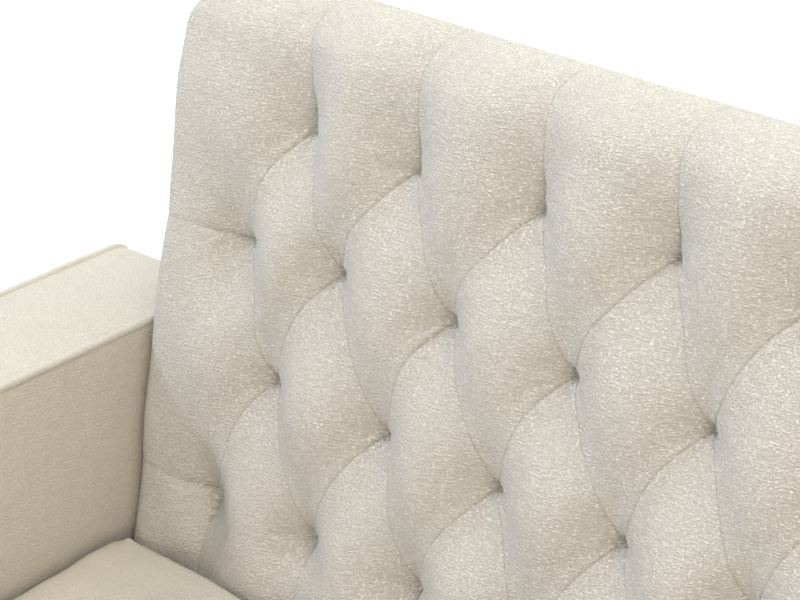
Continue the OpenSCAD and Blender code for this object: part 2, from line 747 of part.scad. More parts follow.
// Height over the bottoms of the tufts. In the diamonds, p and q run along the
// two seams that meet in a tuft.
function between_tufts(across, down) =
    let (p = pow(abs(sin(180 * ((down - 1) / 2 + across))), 0.7),
         q = pow(abs(sin(180 * ((down - 1) / 2 - across))), 0.7))
    seam_h * (p + q - p * q) + (puff_h - seam_h) * p * q;
function panel_h(shares, valley) = puff_h * (shares[1] + (shares[2] - shares[1]) * valley);
function field_h(m, across) =
    m < top_n ? panel_h(top_row_shares[m], abs(cos(180 * across))) :
    m <= top_n + zone_n ? between_tufts(across, zone_step(m) / steps) :
    panel_h(low_row_shares, abs(sin(180 * across)));
function point_h(m, i) =
    let (past = max(0, abs(i) - inner_n), across = (inner_n - min(abs(i), inner_n)) / steps,
         field = field_h(m, across),
         edge = puff_h * (edge_seam_share + (1 - edge_seam_share) * abs(cos(90 * zone_step(m) / steps))),
         limit = m < top_n ? field : edge,
         blend = lookup(past, edge_blend_shares))
    m == 0 || m == last_row || abs(i) == side_n ? -cover_back_t :
    (field + (limit - field) * blend) * lookup(past, edge_height_shares);

cover_rows = [for (m = [0 : last_row]) row_steps(m)];
row_starts = [for (m = 0, n = 0; m <= last_row; n = n + len(cover_rows[m]), m = m + 1) n];
// Where two rows have as many points, the diagonals mirror at the middle, and turn
// round below the last tufts, so that no corner triangle lies flat on the rear
function strip(a, na, b, nb, low) =
    na == nb ? [for (j = [0 : na - 2]) each (j < (na - 1) / 2) == low
        ? [[a + j, a + j + 1, b + j], [a + j + 1, b + j + 1, b + j]]
        : [[a + j, a + j + 1, b + j + 1], [a + j, b + j + 1, b + j]]] :
    na < nb ? concat(
        [for (j = [0 : na - 1]) [a + j, b + j + 1, b + j]],
        [for (j = [0 : na - 2]) [a + j, a + j + 1, b + j + 1]]) :
    concat(
        [for (j = [0 : nb - 1]) [b + j, a + j, a + j + 1]],
        [for (j = [0 : nb - 2]) [b + j, a + j + 1, b + j + 1]]);
module back_tufted_cover() {
    points = concat(
        [for (m = [0 : last_row], i = cover_rows[m]) [step_x(i, row_u(m)), -point_h(m, i), row_u(m)]],
        [[0, cover_back_t, last_tuft_u / 2]]);
    faces = [for (m = [0 : last_row - 1]) each strip(
        row_starts[m], len(cover_rows[m]), row_starts[m + 1], len(cover_rows[m + 1]), m >= top_n + zone_n)];
    low_start = row_starts[last_row];
    top_count = len(cover_rows[0]);
    rim = concat(
        [for (m = [0 : last_row]) row_starts[m]],
        [for (j = [1 : len(cover_rows[last_row]) - 1]) low_start + j],
        [for (m = [last_row - 1 : -1 : 0]) row_starts[m] + len(cover_rows[m]) - 1],
        [for (j = [top_count - 2 : -1 : 1]) j]);
    middle = len(points) - 1;
    rear = [for (j = [0 : len(rim) - 1]) [rim[j], rim[(j + 1) % len(rim)], middle]];
    color("linen") leaned() polyhedron(points, concat(faces, rear));
}

// Seat cushions: a closed form of rings of points, each ring an outline with
// round corners and sides that pull in between them

corner_steps = 4;
side_steps = 10;
corner_signs = [[1, 1], [-1, 1], [-1, -1], [1, -1]];
half_w = cushion_w / 2;
half_d = cushion_d / 2;
function ring_outline(inset, pull) =
    let (r = max(cushion_corner_r - inset, cushion_corner_r / corner_steps),
         flat_x = half_w - inset - r, flat_y = half_d - inset - r)
    [for (c = [0 : 3]) let (here = corner_signs[c], next = corner_signs[(c + 1) % 4]) each concat(
        [for (k = [0 : corner_steps]) let (a = 90 * (c + k / corner_steps))
            [here.x * flat_x + r * cos(a), here.y * flat_y + r * sin(a)]],
        [for (k = [1 : side_steps - 1])
            let (s = k / side_steps, in = pull * (1 - pow(2 * s - 1, 2)), way = here + (next - here) * s)
            c % 2 == 0 ? [way.x * flat_x, here.y * (flat_y + r - in)] : [here.x * (flat_x + r - in), way.y * flat_y]]
    )];

// Rings from the bottom upwards: how far in from the sides and how high, the
// first six as shares of the edge radius and the rest as shares of half the depth
low_ring_shares = [[1, 0], [0.3, 0.3], [0, 1]];
top_ring_shares = [0.12, 0.3, 0.55, 0.8];
cushion_top = cushion_h - rest_gap;
function crown_z(inset) = cushion_top + cushion_crown * (1 - pow(1 - inset / half_d, 3));
cushion_rings = concat(
    [for (s = low_ring_shares) [s[0] * cushion_edge_r, s[1] * cushion_edge_r]],
    [[0, cushion_top / 2]],
    [for (k = [2, 1]) [low_ring_shares[k][0] * cushion_edge_r, cushion_top - low_ring_shares[k][1] * cushion_edge_r]],
    [[cushion_edge_r, crown_z(cushion_edge_r)]],
    [for (s = top_ring_shares) [s * half_d, crown_z(s * half_d)]]
);
ring_n = 4 * (corner_steps + side_steps);
ring_count = len(cushion_rings);
module cushion_form() {
    points = concat(
        [for (ring = cushion_rings, p = ring_outline(ring[0], cushion_draw_in)) [p.x, p.y, ring[1]]],
        [[0, 0, 0], [0, 0, cushion_top + cushion_crown]]);
    bottom = ring_n * ring_count;
    polyhedron(points, concat(
        [for (k = [0 : ring_count - 2], j = [0 : ring_n - 1])
            let (a = k * ring_n + j, b = k * ring_n + (j + 1) % ring_n)
            each [[a, a + ring_n, b + ring_n], [a, b + ring_n, b]]],
        [for (j = [0 : ring_n - 1]) [bottom, j, (j + 1) % ring_n]],
        [for (j = [0 : ring_n - 1]) let (top = (ring_count - 1) * ring_n)
            [bottom + 1, top + (j + 1) % ring_n, top + j]]));
}
module cushion_core() {
    block([cushion_wrap_t - half_w, cushion_wrap_t - half_d, cushion_wrap_t / 2],
          [half_w - cushion_wrap_t, half_d - cushion_wrap_t, cushion_top - cushion_wrap_t / 2]);
}
module cushion_place(side) {
    translate([side * cushion_x, cushion_rear_y - half_d, deck_h + rest_gap]) children();
}
module cushion_cover(side) {
    color("linen") cushion_place(side) difference() {
        cushion_form();
        cushion_core();
    }
}
module left_cushion_foam() { color("khaki") cushion_place(-1) cushion_core(); }
module right_cushion_foam() { color("khaki") cushion_place(1) cushion_core(); }
module left_cushion_cover() { cushion_cover(-1); }
module right_cushion_cover() { cushion_cover(1); }

front_left_leg();
front_right_leg();
rear_left_leg();
rear_right_leg();
centre_leg();
leg_plates();
leg_bolts();
leg_glides();
front_rail();
rear_rail();
left_side_rail();
right_side_rail();
seat_stretchers();
corner_blocks();
seat_springs();
spring_clips();
seat_burlap();
deck_pad();
deck_cover();
front_border_pad();
front_border_cover();
dust_cover();
arm_bolts();
left_arm_front_post();
left_arm_rear_post();
left_arm_top_rail();
left_arm_bottom_rail();
left_arm_boards();
left_arm_padding();
left_arm_side_covers();
left_arm_boxing();
left_arm_piping();
right_arm_front_post();
right_arm_rear_post();
right_arm_top_rail();
right_arm_bottom_rail();
right_arm_boards();
right_arm_padding();
right_arm_side_covers();
right_arm_boxing();
right_arm_piping();
back_left_stile();
back_right_stile();
back_studs();
back_top_rail();
back_bottom_rail();
back_dowels();
back_bolts();
back_board();
back_foam();
back_edge_band();
back_tufted_cover();
back_outside_cover();
tuft_twines();
tuft_anchors();
left_cushion_foam();
left_cushion_cover();
right_cushion_foam();
right_cushion_cover();
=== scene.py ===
import math

import bmesh
import bpy
import numpy as np
from mathutils import Matrix, Vector


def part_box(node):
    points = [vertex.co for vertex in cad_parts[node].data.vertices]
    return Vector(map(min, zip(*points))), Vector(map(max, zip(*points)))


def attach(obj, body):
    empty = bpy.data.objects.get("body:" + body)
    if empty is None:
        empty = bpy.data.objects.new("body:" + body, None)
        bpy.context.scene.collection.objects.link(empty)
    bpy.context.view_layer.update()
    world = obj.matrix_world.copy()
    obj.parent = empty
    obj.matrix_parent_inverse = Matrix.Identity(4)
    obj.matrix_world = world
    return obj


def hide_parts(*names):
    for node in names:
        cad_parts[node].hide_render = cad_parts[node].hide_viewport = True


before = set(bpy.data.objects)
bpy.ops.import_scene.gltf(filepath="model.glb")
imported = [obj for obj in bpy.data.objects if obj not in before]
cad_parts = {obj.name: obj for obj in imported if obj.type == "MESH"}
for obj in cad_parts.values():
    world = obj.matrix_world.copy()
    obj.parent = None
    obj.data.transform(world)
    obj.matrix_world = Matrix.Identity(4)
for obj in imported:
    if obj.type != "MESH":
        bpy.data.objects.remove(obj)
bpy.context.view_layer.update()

# Legs: five short round legs, turned from walnut and tapered to the foot, with a
# satin lacquer. The grain runs along the leg, from the plate down to the glide.


def add(tree, kind, settings=(), inputs=()):
    """Adds a node to a material, with its settings and its inputs or what feeds them."""
    made = tree.nodes.new(kind)
    for name, value in dict(settings).items():
        setattr(made, name, value)
    for name, value in dict(inputs).items():
        if isinstance(value, bpy.types.NodeSocket):
            tree.links.new(value, made.inputs[name])
        else:
            made.inputs[name].default_value = value
    return made


def maths(tree, operation, a, b=0.0, clamp=False):
    """One sum in a material."""
    return add(tree, "ShaderNodeMath", {"operation": operation, "use_clamp": clamp}, {0: a, 1: b}).outputs[0]


def ramp(tree, value, low, high, to_low=0.0, to_high=1.0):
    """Turns low to high into to_low to to_high, smoothly and no further."""
    made = add(tree, "ShaderNodeMapRange", {"interpolation_type": "SMOOTHSTEP"},
               {0: value, 1: low, 2: high, 3: to_low, 4: to_high})
    return made.outputs[0]


def blended(tree, share, first, second):
    """A colour between two others."""
    inputs = {0: share}
    for socket, colour in ((6, first), (7, second)):
        inputs[socket] = colour if isinstance(colour, bpy.types.NodeSocket) else (*colour, 1.0)
    return add(tree, "ShaderNodeMix", {"data_type": "RGBA"}, inputs).outputs[2]


def new_finish(name, roughness, **sockets):
    """A new material, its nodes and its shader."""
    material = bpy.data.materials.new(name)
    material.use_nodes = True
    tree = material.node_tree
    shader = tree.nodes["Principled BSDF"]
    shader.inputs["Roughness"].default_value = roughness
    for socket, value in sockets.items():
        shader.inputs[socket.replace("_", " ")].default_value = value
    return material, tree, shader


def roughen(tree, shader, height, depth, strength):
    """Gives a material its relief, depth metres high."""
    bump = add(tree, "ShaderNodeBump", {}, {"Height": height, "Distance": depth, "Strength": strength})
    tree.links.new(bump.outputs[0], shader.inputs["Normal"])


def wood(name, light, dark, along, roughness, coat=0.0):
    """Wood with its grain along one axis: rings drawn out, pores and a slow change of tone."""
    material, tree, shader = new_finish(name, roughness)
    shader.inputs["Coat Weight"].default_value = coat
    place = add(tree, "ShaderNodeTexCoord").outputs["Object"]
    drawn = [14.0, 14.0, 14.0]
    drawn[along] = 1.1
    drawn_out = add(tree, "ShaderNodeMapping", {}, {"Vector": place, "Scale": drawn}).outputs[0]
    rings = add(tree, "ShaderNodeTexNoise", {},
                {"Vector": drawn_out, "Scale": 4.0, "Detail": 5.0, "Distortion": 1.2})
    pores = add(tree, "ShaderNodeTexNoise", {}, {"Vector": drawn_out, "Scale": 42.0, "Detail": 3.0})
    tone = blended(tree, ramp(tree, rings.outputs[0], 0.36, 0.64), dark, light)
    pored = blended(tree, ramp(tree, pores.outputs[0], 0.60, 0.74, 0.0, 0.45), tone, dark)
    tree.links.new(pored, shader.inputs["Base Color"])
    roughen(tree, shader, maths(tree, "SUBTRACT", rings.outputs[0], pores.outputs[0]), 0.0004, 0.25)
    return material


def dress(material, *nodes):
    """Gives CAD nodes a material."""
    for name in nodes:
        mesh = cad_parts[name].data
        mesh.materials.clear()
        mesh.materials.append(material)


walnut = wood("walnut", (0.20, 0.105, 0.055), (0.075, 0.036, 0.02), 2, 0.38, 0.3)
dress(walnut, "front_left_leg", "front_right_leg", "rear_left_leg", "rear_right_leg", "centre_leg")

# Glides, plates and bolts: moulded black glides under the feet, zinc plated steel
# plates and bolts over them, and the steel bolts that hold arms, seat and back.


def metal(name, light, dark, roughness):
    """Plated steel: a faint spangle and fine scratches."""
    material, tree, shader = new_finish(name, roughness, Metallic=1.0)
    place = add(tree, "ShaderNodeTexCoord").outputs["Object"]
    spangle = add(tree, "ShaderNodeTexVoronoi", {}, {"Vector": place, "Scale": 190.0})
    scratch = add(tree, "ShaderNodeTexNoise", {}, {"Vector": place, "Scale": 900.0, "Detail": 3.0})
    tone = blended(tree, ramp(tree, spangle.outputs["Distance"], 0.1, 0.8), light, dark)
    tree.links.new(tone, shader.inputs["Base Color"])
    tree.links.new(ramp(tree, scratch.outputs[0], 0.3, 0.7, roughness - 0.08, roughness + 0.12),
                   shader.inputs["Roughness"])
    roughen(tree, shader, scratch.outputs[0], 0.0001, 0.2)
    return material


def moulding(name, colour, worn, roughness):
    """Moulded plastic with a fine grain."""
    material, tree, shader = new_finish(name, roughness)
    place = add(tree, "ShaderNodeTexCoord").outputs["Object"]
    grain = add(tree, "ShaderNodeTexNoise", {}, {"Vector": place, "Scale": 1400.0, "Detail": 2.0})
    tone = blended(tree, ramp(tree, grain.outputs[0], 0.5, 0.8), colour, worn)
    tree.links.new(tone, shader.inputs["Base Color"])
    roughen(tree, shader, grain.outputs[0], 0.0001, 0.3)
    return material


zinc = metal("zinc_plate", (0.66, 0.66, 0.67), (0.50, 0.51, 0.53), 0.34)
dress(zinc, "leg_plates", "leg_bolts", "arm_bolts", "back_bolts", "spring_clips")
dress(metal("spring_wire", (0.42, 0.42, 0.43), (0.30, 0.30, 0.31), 0.42), "seat_springs")
dress(moulding("black_glide", (0.018, 0.018, 0.019), (0.05, 0.05, 0.05), 0.5), "leg_glides", "tuft_anchors")

# Timber: the seat's rails and stretchers, the arms' posts and rails, and the back's
# uprights, planed from pine and left bare, with boards of thin plywood on them.
pine_light, pine_dark = (0.74, 0.57, 0.38), (0.55, 0.37, 0.21)
dress(wood("pine_across", pine_light, pine_dark, 0, 0.65),
      "front_rail", "rear_rail", "back_top_rail", "back_bottom_rail")
dress(wood("pine_deep", pine_light, pine_dark, 1, 0.65),
      "left_side_rail", "right_side_rail", "seat_stretchers", "corner_blocks", "left_arm_top_rail",
      "right_arm_top_rail", "left_arm_bottom_rail", "right_arm_bottom_rail")
dress(wood("pine_upright", pine_light, pine_dark, 2, 0.65),
      "back_left_stile", "back_right_stile", "back_studs", "back_dowels", "left_arm_front_post",
      "left_arm_rear_post", "right_arm_front_post", "right_arm_rear_post")
dress(wood("plywood", (0.66, 0.50, 0.33), (0.50, 0.35, 0.21), 0, 0.7),
      "back_board", "left_arm_boards", "right_arm_boards")

# Burlap: a coarse jute cloth, stretched over the zigzag springs and stapled to the
# rails, that carries the foam of the deck. It dips a little between the springs.


def woven(name, colour, hollow_shade, slub, depth, sheen=0.0, line=(0.36, 0.29, 0.21)):
    """Cloth of uneven yarns: slub is a yarn's length and height on the cloth. The low places of the weave
    take a darker colour, painted shade, and along sewn lines the cloth is darkened, painted shade of the
    seams.
    """
    material, tree, shader = new_finish(name, 0.92)
    shader.inputs["Sheen Weight"].default_value = sheen
    shader.inputs["Sheen Roughness"].default_value = 0.55
    shader.inputs["Specular IOR Level"].default_value = 0.15
    place = add(tree, "ShaderNodeUVMap", {"uv_map": "weave"}).outputs[0]

    def yarns(long, high, detail=2.0):
        """Noise drawn out to a yarn's length and height."""
        drawn = add(tree, "ShaderNodeVectorMath", {"operation": "MULTIPLY"},
                    {0: place, 1: (1 / long, 1 / high, 0.0)})
        return add(tree, "ShaderNodeTexNoise", {"noise_dimensions": "2D"},
                   {"Vector": drawn.outputs[0], "Scale": 1.0, "Detail": detail, "Roughness": 0.6}).outputs[0]

    weft = ramp(tree, yarns(slub[0] * 2.4, slub[1] * 0.8, 1.0), 0.30, 0.70)
    loops = ramp(tree, yarns(slub[0] * 0.52, slub[1] * 0.82), 0.32, 0.68)
    height = maths(tree, "ADD", maths(tree, "MULTIPLY", weft, 0.28), maths(tree, "MULTIPLY", loops, 0.72))
    stray = ramp(tree, yarns(slub[0] * 7, slub[1] * 1.2, 0.0), 0.72, 0.80, 0.0, 0.5)
    height = maths(tree, "ADD", height, maths(tree, "MULTIPLY", stray, 0.6))
    patch = yarns(0.05, 0.03, 3.0)
    # Painted shade: the low places of the weave blend towards the darker second colour.
    tone = blended(tree, ramp(tree, height, 0.15, 0.85), hollow_shade, colour)
    tone = blended(tree, ramp(tree, patch, 0.35, 0.7, 0.0, 0.12), tone, hollow_shade)
    # Painted shade along the seams: near a sewn line the colour blends towards the dark brown line colour.
    sewn = add(tree, "ShaderNodeAttribute", {"attribute_name": "seam"}).outputs["Fac"]
    tone = blended(tree, ramp(tree, sewn, 0.70, 0.95, 0.0, 0.30), tone, line)
    tree.links.new(tone, shader.inputs["Base Color"])
    roughen(tree, shader, height, depth, 0.9)
    return material


def corners(mesh):
    """The point that each corner of each face lies on."""
    corner = np.empty(len(mesh.loops), np.int32)
    mesh.loops.foreach_get("vertex_index", corner)
    return corner


def store_weave(mesh, flat):
    """Stores the UV map that the cloth follows, in metres."""
    mesh.uv_layers.new(name="weave").data.foreach_set("uv", flat.astype(np.float32).ravel())


def lay_weave(mesh):
    """Lays the cloth on a mesh from the side that each face looks to."""
    at = read_points(mesh)[corners(mesh)]
    normals = np.empty(len(mesh.polygons) * 3, np.float32)
    mesh.polygons.foreach_get("normal", normals)
    sizes = np.empty(len(mesh.polygons), np.int32)
    mesh.polygons.foreach_get("loop_total", sizes)
    facing = np.abs(normals.reshape(-1, 3)).argmax(1).repeat(sizes)
    store_weave(mesh, np.stack([np.where(facing == 0, at[:, 1], at[:, 0]),
                                np.where(facing == 2, at[:, 1], at[:, 2])], 1))


def read_points(mesh):
    """The places of a mesh's points."""
    points = np.empty(len(mesh.vertices) * 3, np.float32)
    mesh.vertices.foreach_get("co", points)
    return points.reshape(-1, 3).astype(float)


def write_points(mesh, points):
    """Moves a mesh's points to new places."""
    mesh.vertices.foreach_set("co", points.astype(np.float32).ravel())
    mesh.update()


def mark_seams(mesh, closeness):
    """Stores how close each point is to a sewn line: 1 on the line, 0 away from it."""
    seam = mesh.attributes.new("seam", "FLOAT", "POINT")
    seam.data.foreach_set("value", np.clip(closeness, 0, 1).astype(np.float32))


def to_mesh(bm, name):
    """Ends a bmesh as a mesh whose faces point outwards."""
    bmesh.ops.recalc_face_normals(bm, faces=bm.faces)
    mesh = bpy.data.meshes.new(name)
    bm.to_mesh(mesh)
    bm.free()
    return mesh


def make_piece(mesh, material, body, slot, *nodes):
    """Puts a finished mesh on its body, in place of the CAD nodes that it stands for."""
    mesh.materials.clear()
    mesh.materials.append(material)
    mesh.shade_smooth()
    piece = bpy.data.objects.new(mesh.name, mesh)
    bpy.context.scene.collection.objects.link(piece)
    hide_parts(*nodes)
    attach(piece, body)
    return piece


def stretched_sheet(name, node, cuts, dip, waves):
    """A sheet over the space of a flat CAD node, thick as it is, that dips between waves across its width."""
    low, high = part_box(node)
    size, middle = high - low, (high + low) / 2
    bm = bmesh.new()
    bmesh.ops.create_cube(bm, size=1.0, matrix=Matrix.Translation(middle) @ Matrix.Diagonal((*size, 1.0)))
    for axis, count in enumerate(cuts):
        edges = [e for e in bm.edges if abs((e.verts[0].co - e.verts[1].co)[axis]) > size[axis] / 2]
        bmesh.ops.subdivide_edges(bm, edges=edges, cuts=count, use_grid_fill=True)
    for v in bm.verts:
        rim = min(1.0, min(v.co.x - low.x, high.x - v.co.x, v.co.y - low.y, high.y - v.co.y) / 0.05)
        v.co.z -= dip * rim * (0.5 + 0.5 * math.cos(2 * math.pi * waves * (v.co.x - low.x) / size.x))
    return to_mesh(bm, name)


jute = woven("jute", (0.50, 0.37, 0.22), (0.22, 0.15, 0.08), (0.0030, 0.0030), 0.0006)
burlap_mesh = stretched_sheet("burlap", "seat_burlap", (95, 31), 0.0008, 8)
lay_weave(burlap_mesh)
burlap = make_piece(burlap_mesh, jute, "sofa", "burlap", "seat_burlap")

# Dust cloth: thin black felt stapled under the frame, with a square hole where the middle leg's plate goes
# through. It lies flat.
felt = woven("black_felt", (0.030, 0.030, 0.032), (0.010, 0.010, 0.011), (0.0012, 0.0012), 0.0002)
dust_low, dust_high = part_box("dust_cover")
leg_low, leg_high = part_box("centre_leg")
plate_half, plate_y = 0.037, (leg_low.y + leg_high.y) / 2
felt_thick = 0.0012
bm = bmesh.new()
bmesh.ops.create_grid(bm, x_segments=64, y_segments=24, size=0.5, matrix=Matrix.Translation(
    ((dust_low.x + dust_high.x) / 2, (dust_low.y + dust_high.y) / 2, dust_high.z))
    @ Matrix.Diagonal((dust_high.x - dust_low.x, dust_high.y - dust_low.y, 1.0, 1.0)))
for place, facing in (((plate_half, 0, 0), (1, 0, 0)), ((-plate_half, 0, 0), (1, 0, 0)),
                      ((0, plate_y + plate_half, 0), (0, 1, 0)), ((0, plate_y - plate_half, 0), (0, 1, 0))):
    bmesh.ops.bisect_plane(bm, geom=bm.verts[:] + bm.edges[:] + bm.faces[:], plane_co=place, plane_no=facing)
hole = [f for f in bm.faces if abs(f.calc_center_median().x) < plate_half
        and abs(f.calc_center_median().y - plate_y) < plate_half]
bmesh.ops.delete(bm, geom=hole, context="FACES")
bmesh.ops.solidify(bm, geom=bm.faces[:], thickness=felt_thick)
top = max(v.co.z for v in bm.verts)
for v in bm.verts:
    v.co.z += dust_high.z - top
dust_mesh = to_mesh(bm, "dust_cloth")
lay_weave(dust_mesh)
dust_cloth = make_piece(dust_mesh, felt, "sofa", "lining", "dust_cover")

# Deck: the cloth over thin foam that the cushions lie on, sewn at the front to the
# padded border that covers the front rail and closes the seat between the arms.
# The back's cloth stands up more than that of the deck, the arms and the cushions.
cream = woven("cream_weave", (0.81, 0.765, 0.69), (0.66, 0.61, 0.535), (0.0042, 0.0017), 0.0026, 0.2)
# The deck, the border, the arms and the cushions wear the same cloth made darker all over, painted shade,
# with less contrast in its weave and a shallower relief.
shaded_cream = woven("shaded_cream_weave", (0.612, 0.567, 0.485), (0.560, 0.515, 0.436),
                   (0.0042, 0.0017), 0.0011, 0.2)


def evened(bm, name, voxel):
    """A closed form made over again as a skin of even small faces, with its edges a little round."""
    bmesh.ops.recalc_face_normals(bm, faces=bm.faces)
    rough = bpy.data.meshes.new(name + "_rough")
    bm.to_mesh(rough)
    bm.free()
    form = bpy.data.objects.new(name + "_rough", rough)
    bpy.context.scene.collection.objects.link(form)
    skin = form.modifiers.new("skin", "REMESH")
    skin.mode = "VOXEL"
    skin.voxel_size = voxel
    skin.use_smooth_shade = True
    mesh = bpy.data.meshes.new_from_object(form.evaluated_get(bpy.context.evaluated_depsgraph_get()))
    mesh.name = name
    bpy.data.objects.remove(form)
    bpy.data.meshes.remove(rough)
    return mesh


def round_block(low, high, radius, steps=4):
    """A block from one corner to the other with all its edges round."""
    bm = bmesh.new()
    bmesh.ops.create_cube(bm, size=1.0, matrix=Matrix.Translation((low + high) / 2)
                          @ Matrix.Diagonal((*(high - low), 1.0)))
    bmesh.ops.bevel(bm, geom=bm.edges[:], offset=radius, segments=steps, affect="EDGES",
                    profile=0.5, material=-1)
    return bm


def ripple(points, seed, size, count=14):
    """A slow unevenness, -1 to 1, made of waves of about that size in metres that run every way."""
    rng = np.random.default_rng(seed)
    total = np.zeros(len(points))
    for _ in range(count):
        way = rng.normal(size=3)
        way *= 2 * math.pi / (size * rng.uniform(0.7, 1.6)) / np.linalg.norm(way)
        total += np.sin(points @ way + rng.uniform(0, 2 * math.pi))
    return total / math.sqrt(count)


deck_low, deck_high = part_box("deck_pad")[0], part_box("deck_cover")[1]
deck_low = Vector((deck_low.x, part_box("deck_cover")[0].y, deck_low.z))
deck_edge_r, deck_step, deck_top, deck_dip = 0.004, 0.0075, 0.005, 0.0008
deck_mesh = evened(round_block(deck_low, deck_high, deck_edge_r), "deck", deck_step)
at = read_points(deck_mesh)
at[:, 2] -= np.where(at[:, 2] > deck_high.z - deck_top, deck_dip * (1 + ripple(at, 3, 0.18)), 0.0)
write_points(deck_mesh, at)
lay_weave(deck_mesh)
deck = make_piece(deck_mesh, shaded_cream, "sofa", "cream_fabric", "deck_pad", "deck_cover")

border_low, border_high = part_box("front_border_cover")[0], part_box("front_border_pad")[1]
border_edge_r, border_step, border_swell = 0.005, 0.005, 0.004
border_mesh = evened(round_block(border_low, border_high, border_edge_r), "front_border", border_step)
at = read_points(border_mesh)
up = (at[:, 2] - border_low.z) / (border_high.z - border_low.z)
full = np.clip(4 * up * (1 - up), 0, 1) ** 0.5
ends = np.clip((border_high.x - np.abs(at[:, 0])) / 0.02, 0, 1) ** 0.5
front = at[:, 1] < (border_low.y + border_high.y) / 2
at[:, 1] -= np.where(front, border_swell * full * ends * (1 + 0.12 * ripple(at, 5, 0.22)), 0.0)
write_points(border_mesh, at)
lay_weave(border_mesh)
border = make_piece(border_mesh, shaded_cream, "sofa", "cream_fabric", "front_border_pad", "front_border_cover")

# Arms: track arms, boarded and padded, with a flat side cover on each face and one
# long boxing over the front, top and rear. They lean with the back at their rear.
lean = math.radians(10.7)
arm_corner, arm_step, end_layer = 0.018, 0.005, 0.004
face_swell, face_drawn_in = 0.0025, 0.0012
top_crown, top_drawn_in = 0.0032, 0.0010


def arm_skin(side):
    """The padded skin of one arm, crowned on its faces and drawn in at its piped edges."""
    name = ("left" if side < 0 else "right") + "_arm"
    low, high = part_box(name + "_side_covers")
    low.z, high.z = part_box(name + "_boxing")[0].z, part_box(name + "_boxing")[1].z
    low.y, high.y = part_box(name + "_boxing")[0].y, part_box(name + "_boxing")[1].y
    bm = bmesh.new()
    bmesh.ops.create_cube(bm, size=1.0, matrix=Matrix.Translation((low + high) / 2)
                          @ Matrix.Diagonal((*(high - low), 1.0)))
    for v in bm.verts:
        if v.co.y > 0:
            reach = arm_corner * (1 - math.cos(lean) + math.sin(lean)) / math.cos(lean) * 0.5
            v.co.y = high.y + reach - (high.z - v.co.z) * math.tan(lean)
    top_edges = [e for e in bm.edges if all(v.co.z > high.z - 0.001 for v in e.verts)
                 and abs(e.verts[0].co.y - e.verts[1].co.y) < 0.001]
    bmesh.ops.bevel(bm, geom=top_edges, offset=arm_corner, segments=6, affect="EDGES",
                    profile=0.5, material=-1)
    mesh = evened(bm, name + "_cover", arm_step)
    at = read_points(mesh)
    middle, half = (low.x + high.x) / 2, (high.x - low.x) / 2
    over = (at[:, 0] - middle) / half
    rear = high.y - (high.z - at[:, 2]) * math.tan(lean)
    inward = np.minimum.reduce([at[:, 1] - low.y, rear - at[:, 1], high.z - at[:, 2]])
    swell = np.clip(inward / 0.09, 0, 1) ** 0.5 * face_swell - face_drawn_in
    face = np.abs(over) > 0.93
    at[:, 0] += np.where(face, np.sign(over) * (swell + 0.0004 * ripple(at, 11 + side, 0.2)), 0.0)
    crown = np.where(face, 0.0, top_crown * (1 - over ** 2) - top_drawn_in)
    top = at[:, 2] > high.z - arm_corner * 0.7
    at[:, 2] += np.where(top, crown + 0.0003 * ripple(at, 17 + side, 0.12), 0.0)
    at_front, at_rear = at[:, 1] < low.y + end_layer, rear - at[:, 1] < end_layer
    at[:, 1] += np.where(top, 0.0, np.where(at_front, -crown, np.where(at_rear, crown, 0.0)))
    write_points(mesh, at)
    lay_weave(mesh)
    return make_piece(mesh, shaded_cream, "sofa", "cream_fabric",
                      name + "_padding", name + "_side_covers", name + "_boxing")


for side in (-1, 1):
    arm_skin(side)

# Piping: a cord in a strip of the same cloth, sewn between each side cover and the
# boxing. It runs up the front edge, along the top and down the rear of each face.
piping_r, piping_inset, piping_uneven = 0.0035, 0.0015, 0.00018
# The piping wears the same cloth made darker, painted shade.
piping_cloth = woven("shaded_piping_weave", (0.55, 0.52, 0.465), (0.47, 0.44, 0.39), (0.0040, 0.0014), 0.0004, 0.2)


def carry_on(bm, edges, step, times):
    """Carries a row of edges on by equal steps."""
    for _ in range(times):
        made = bmesh.ops.extrude_edge_only(bm, edges=edges)["geom"]
        verts = {g for g in made if isinstance(g, bmesh.types.BMVert)}
        bmesh.ops.translate(bm, vec=step, verts=list(verts))
        edges = [g for g in made if isinstance(g, bmesh.types.BMEdge) and set(g.verts) <= verts]
    return edges


def turn_on(bm, edges, centre, angle, times):
    """Carries a row of edges on round a centre by equal angles, from up to the rear and down."""
    for _ in range(times):
        made = bmesh.ops.extrude_edge_only(bm, edges=edges)["geom"]
        verts = {g for g in made if isinstance(g, bmesh.types.BMVert)}
        bmesh.ops.rotate(bm, cent=centre, matrix=Matrix.Rotation(-angle / times, 3, "X"),
                         verts=list(verts))
        edges = [g for g in made if isinstance(g, bmesh.types.BMEdge) and set(g.verts) <= verts]
    return edges


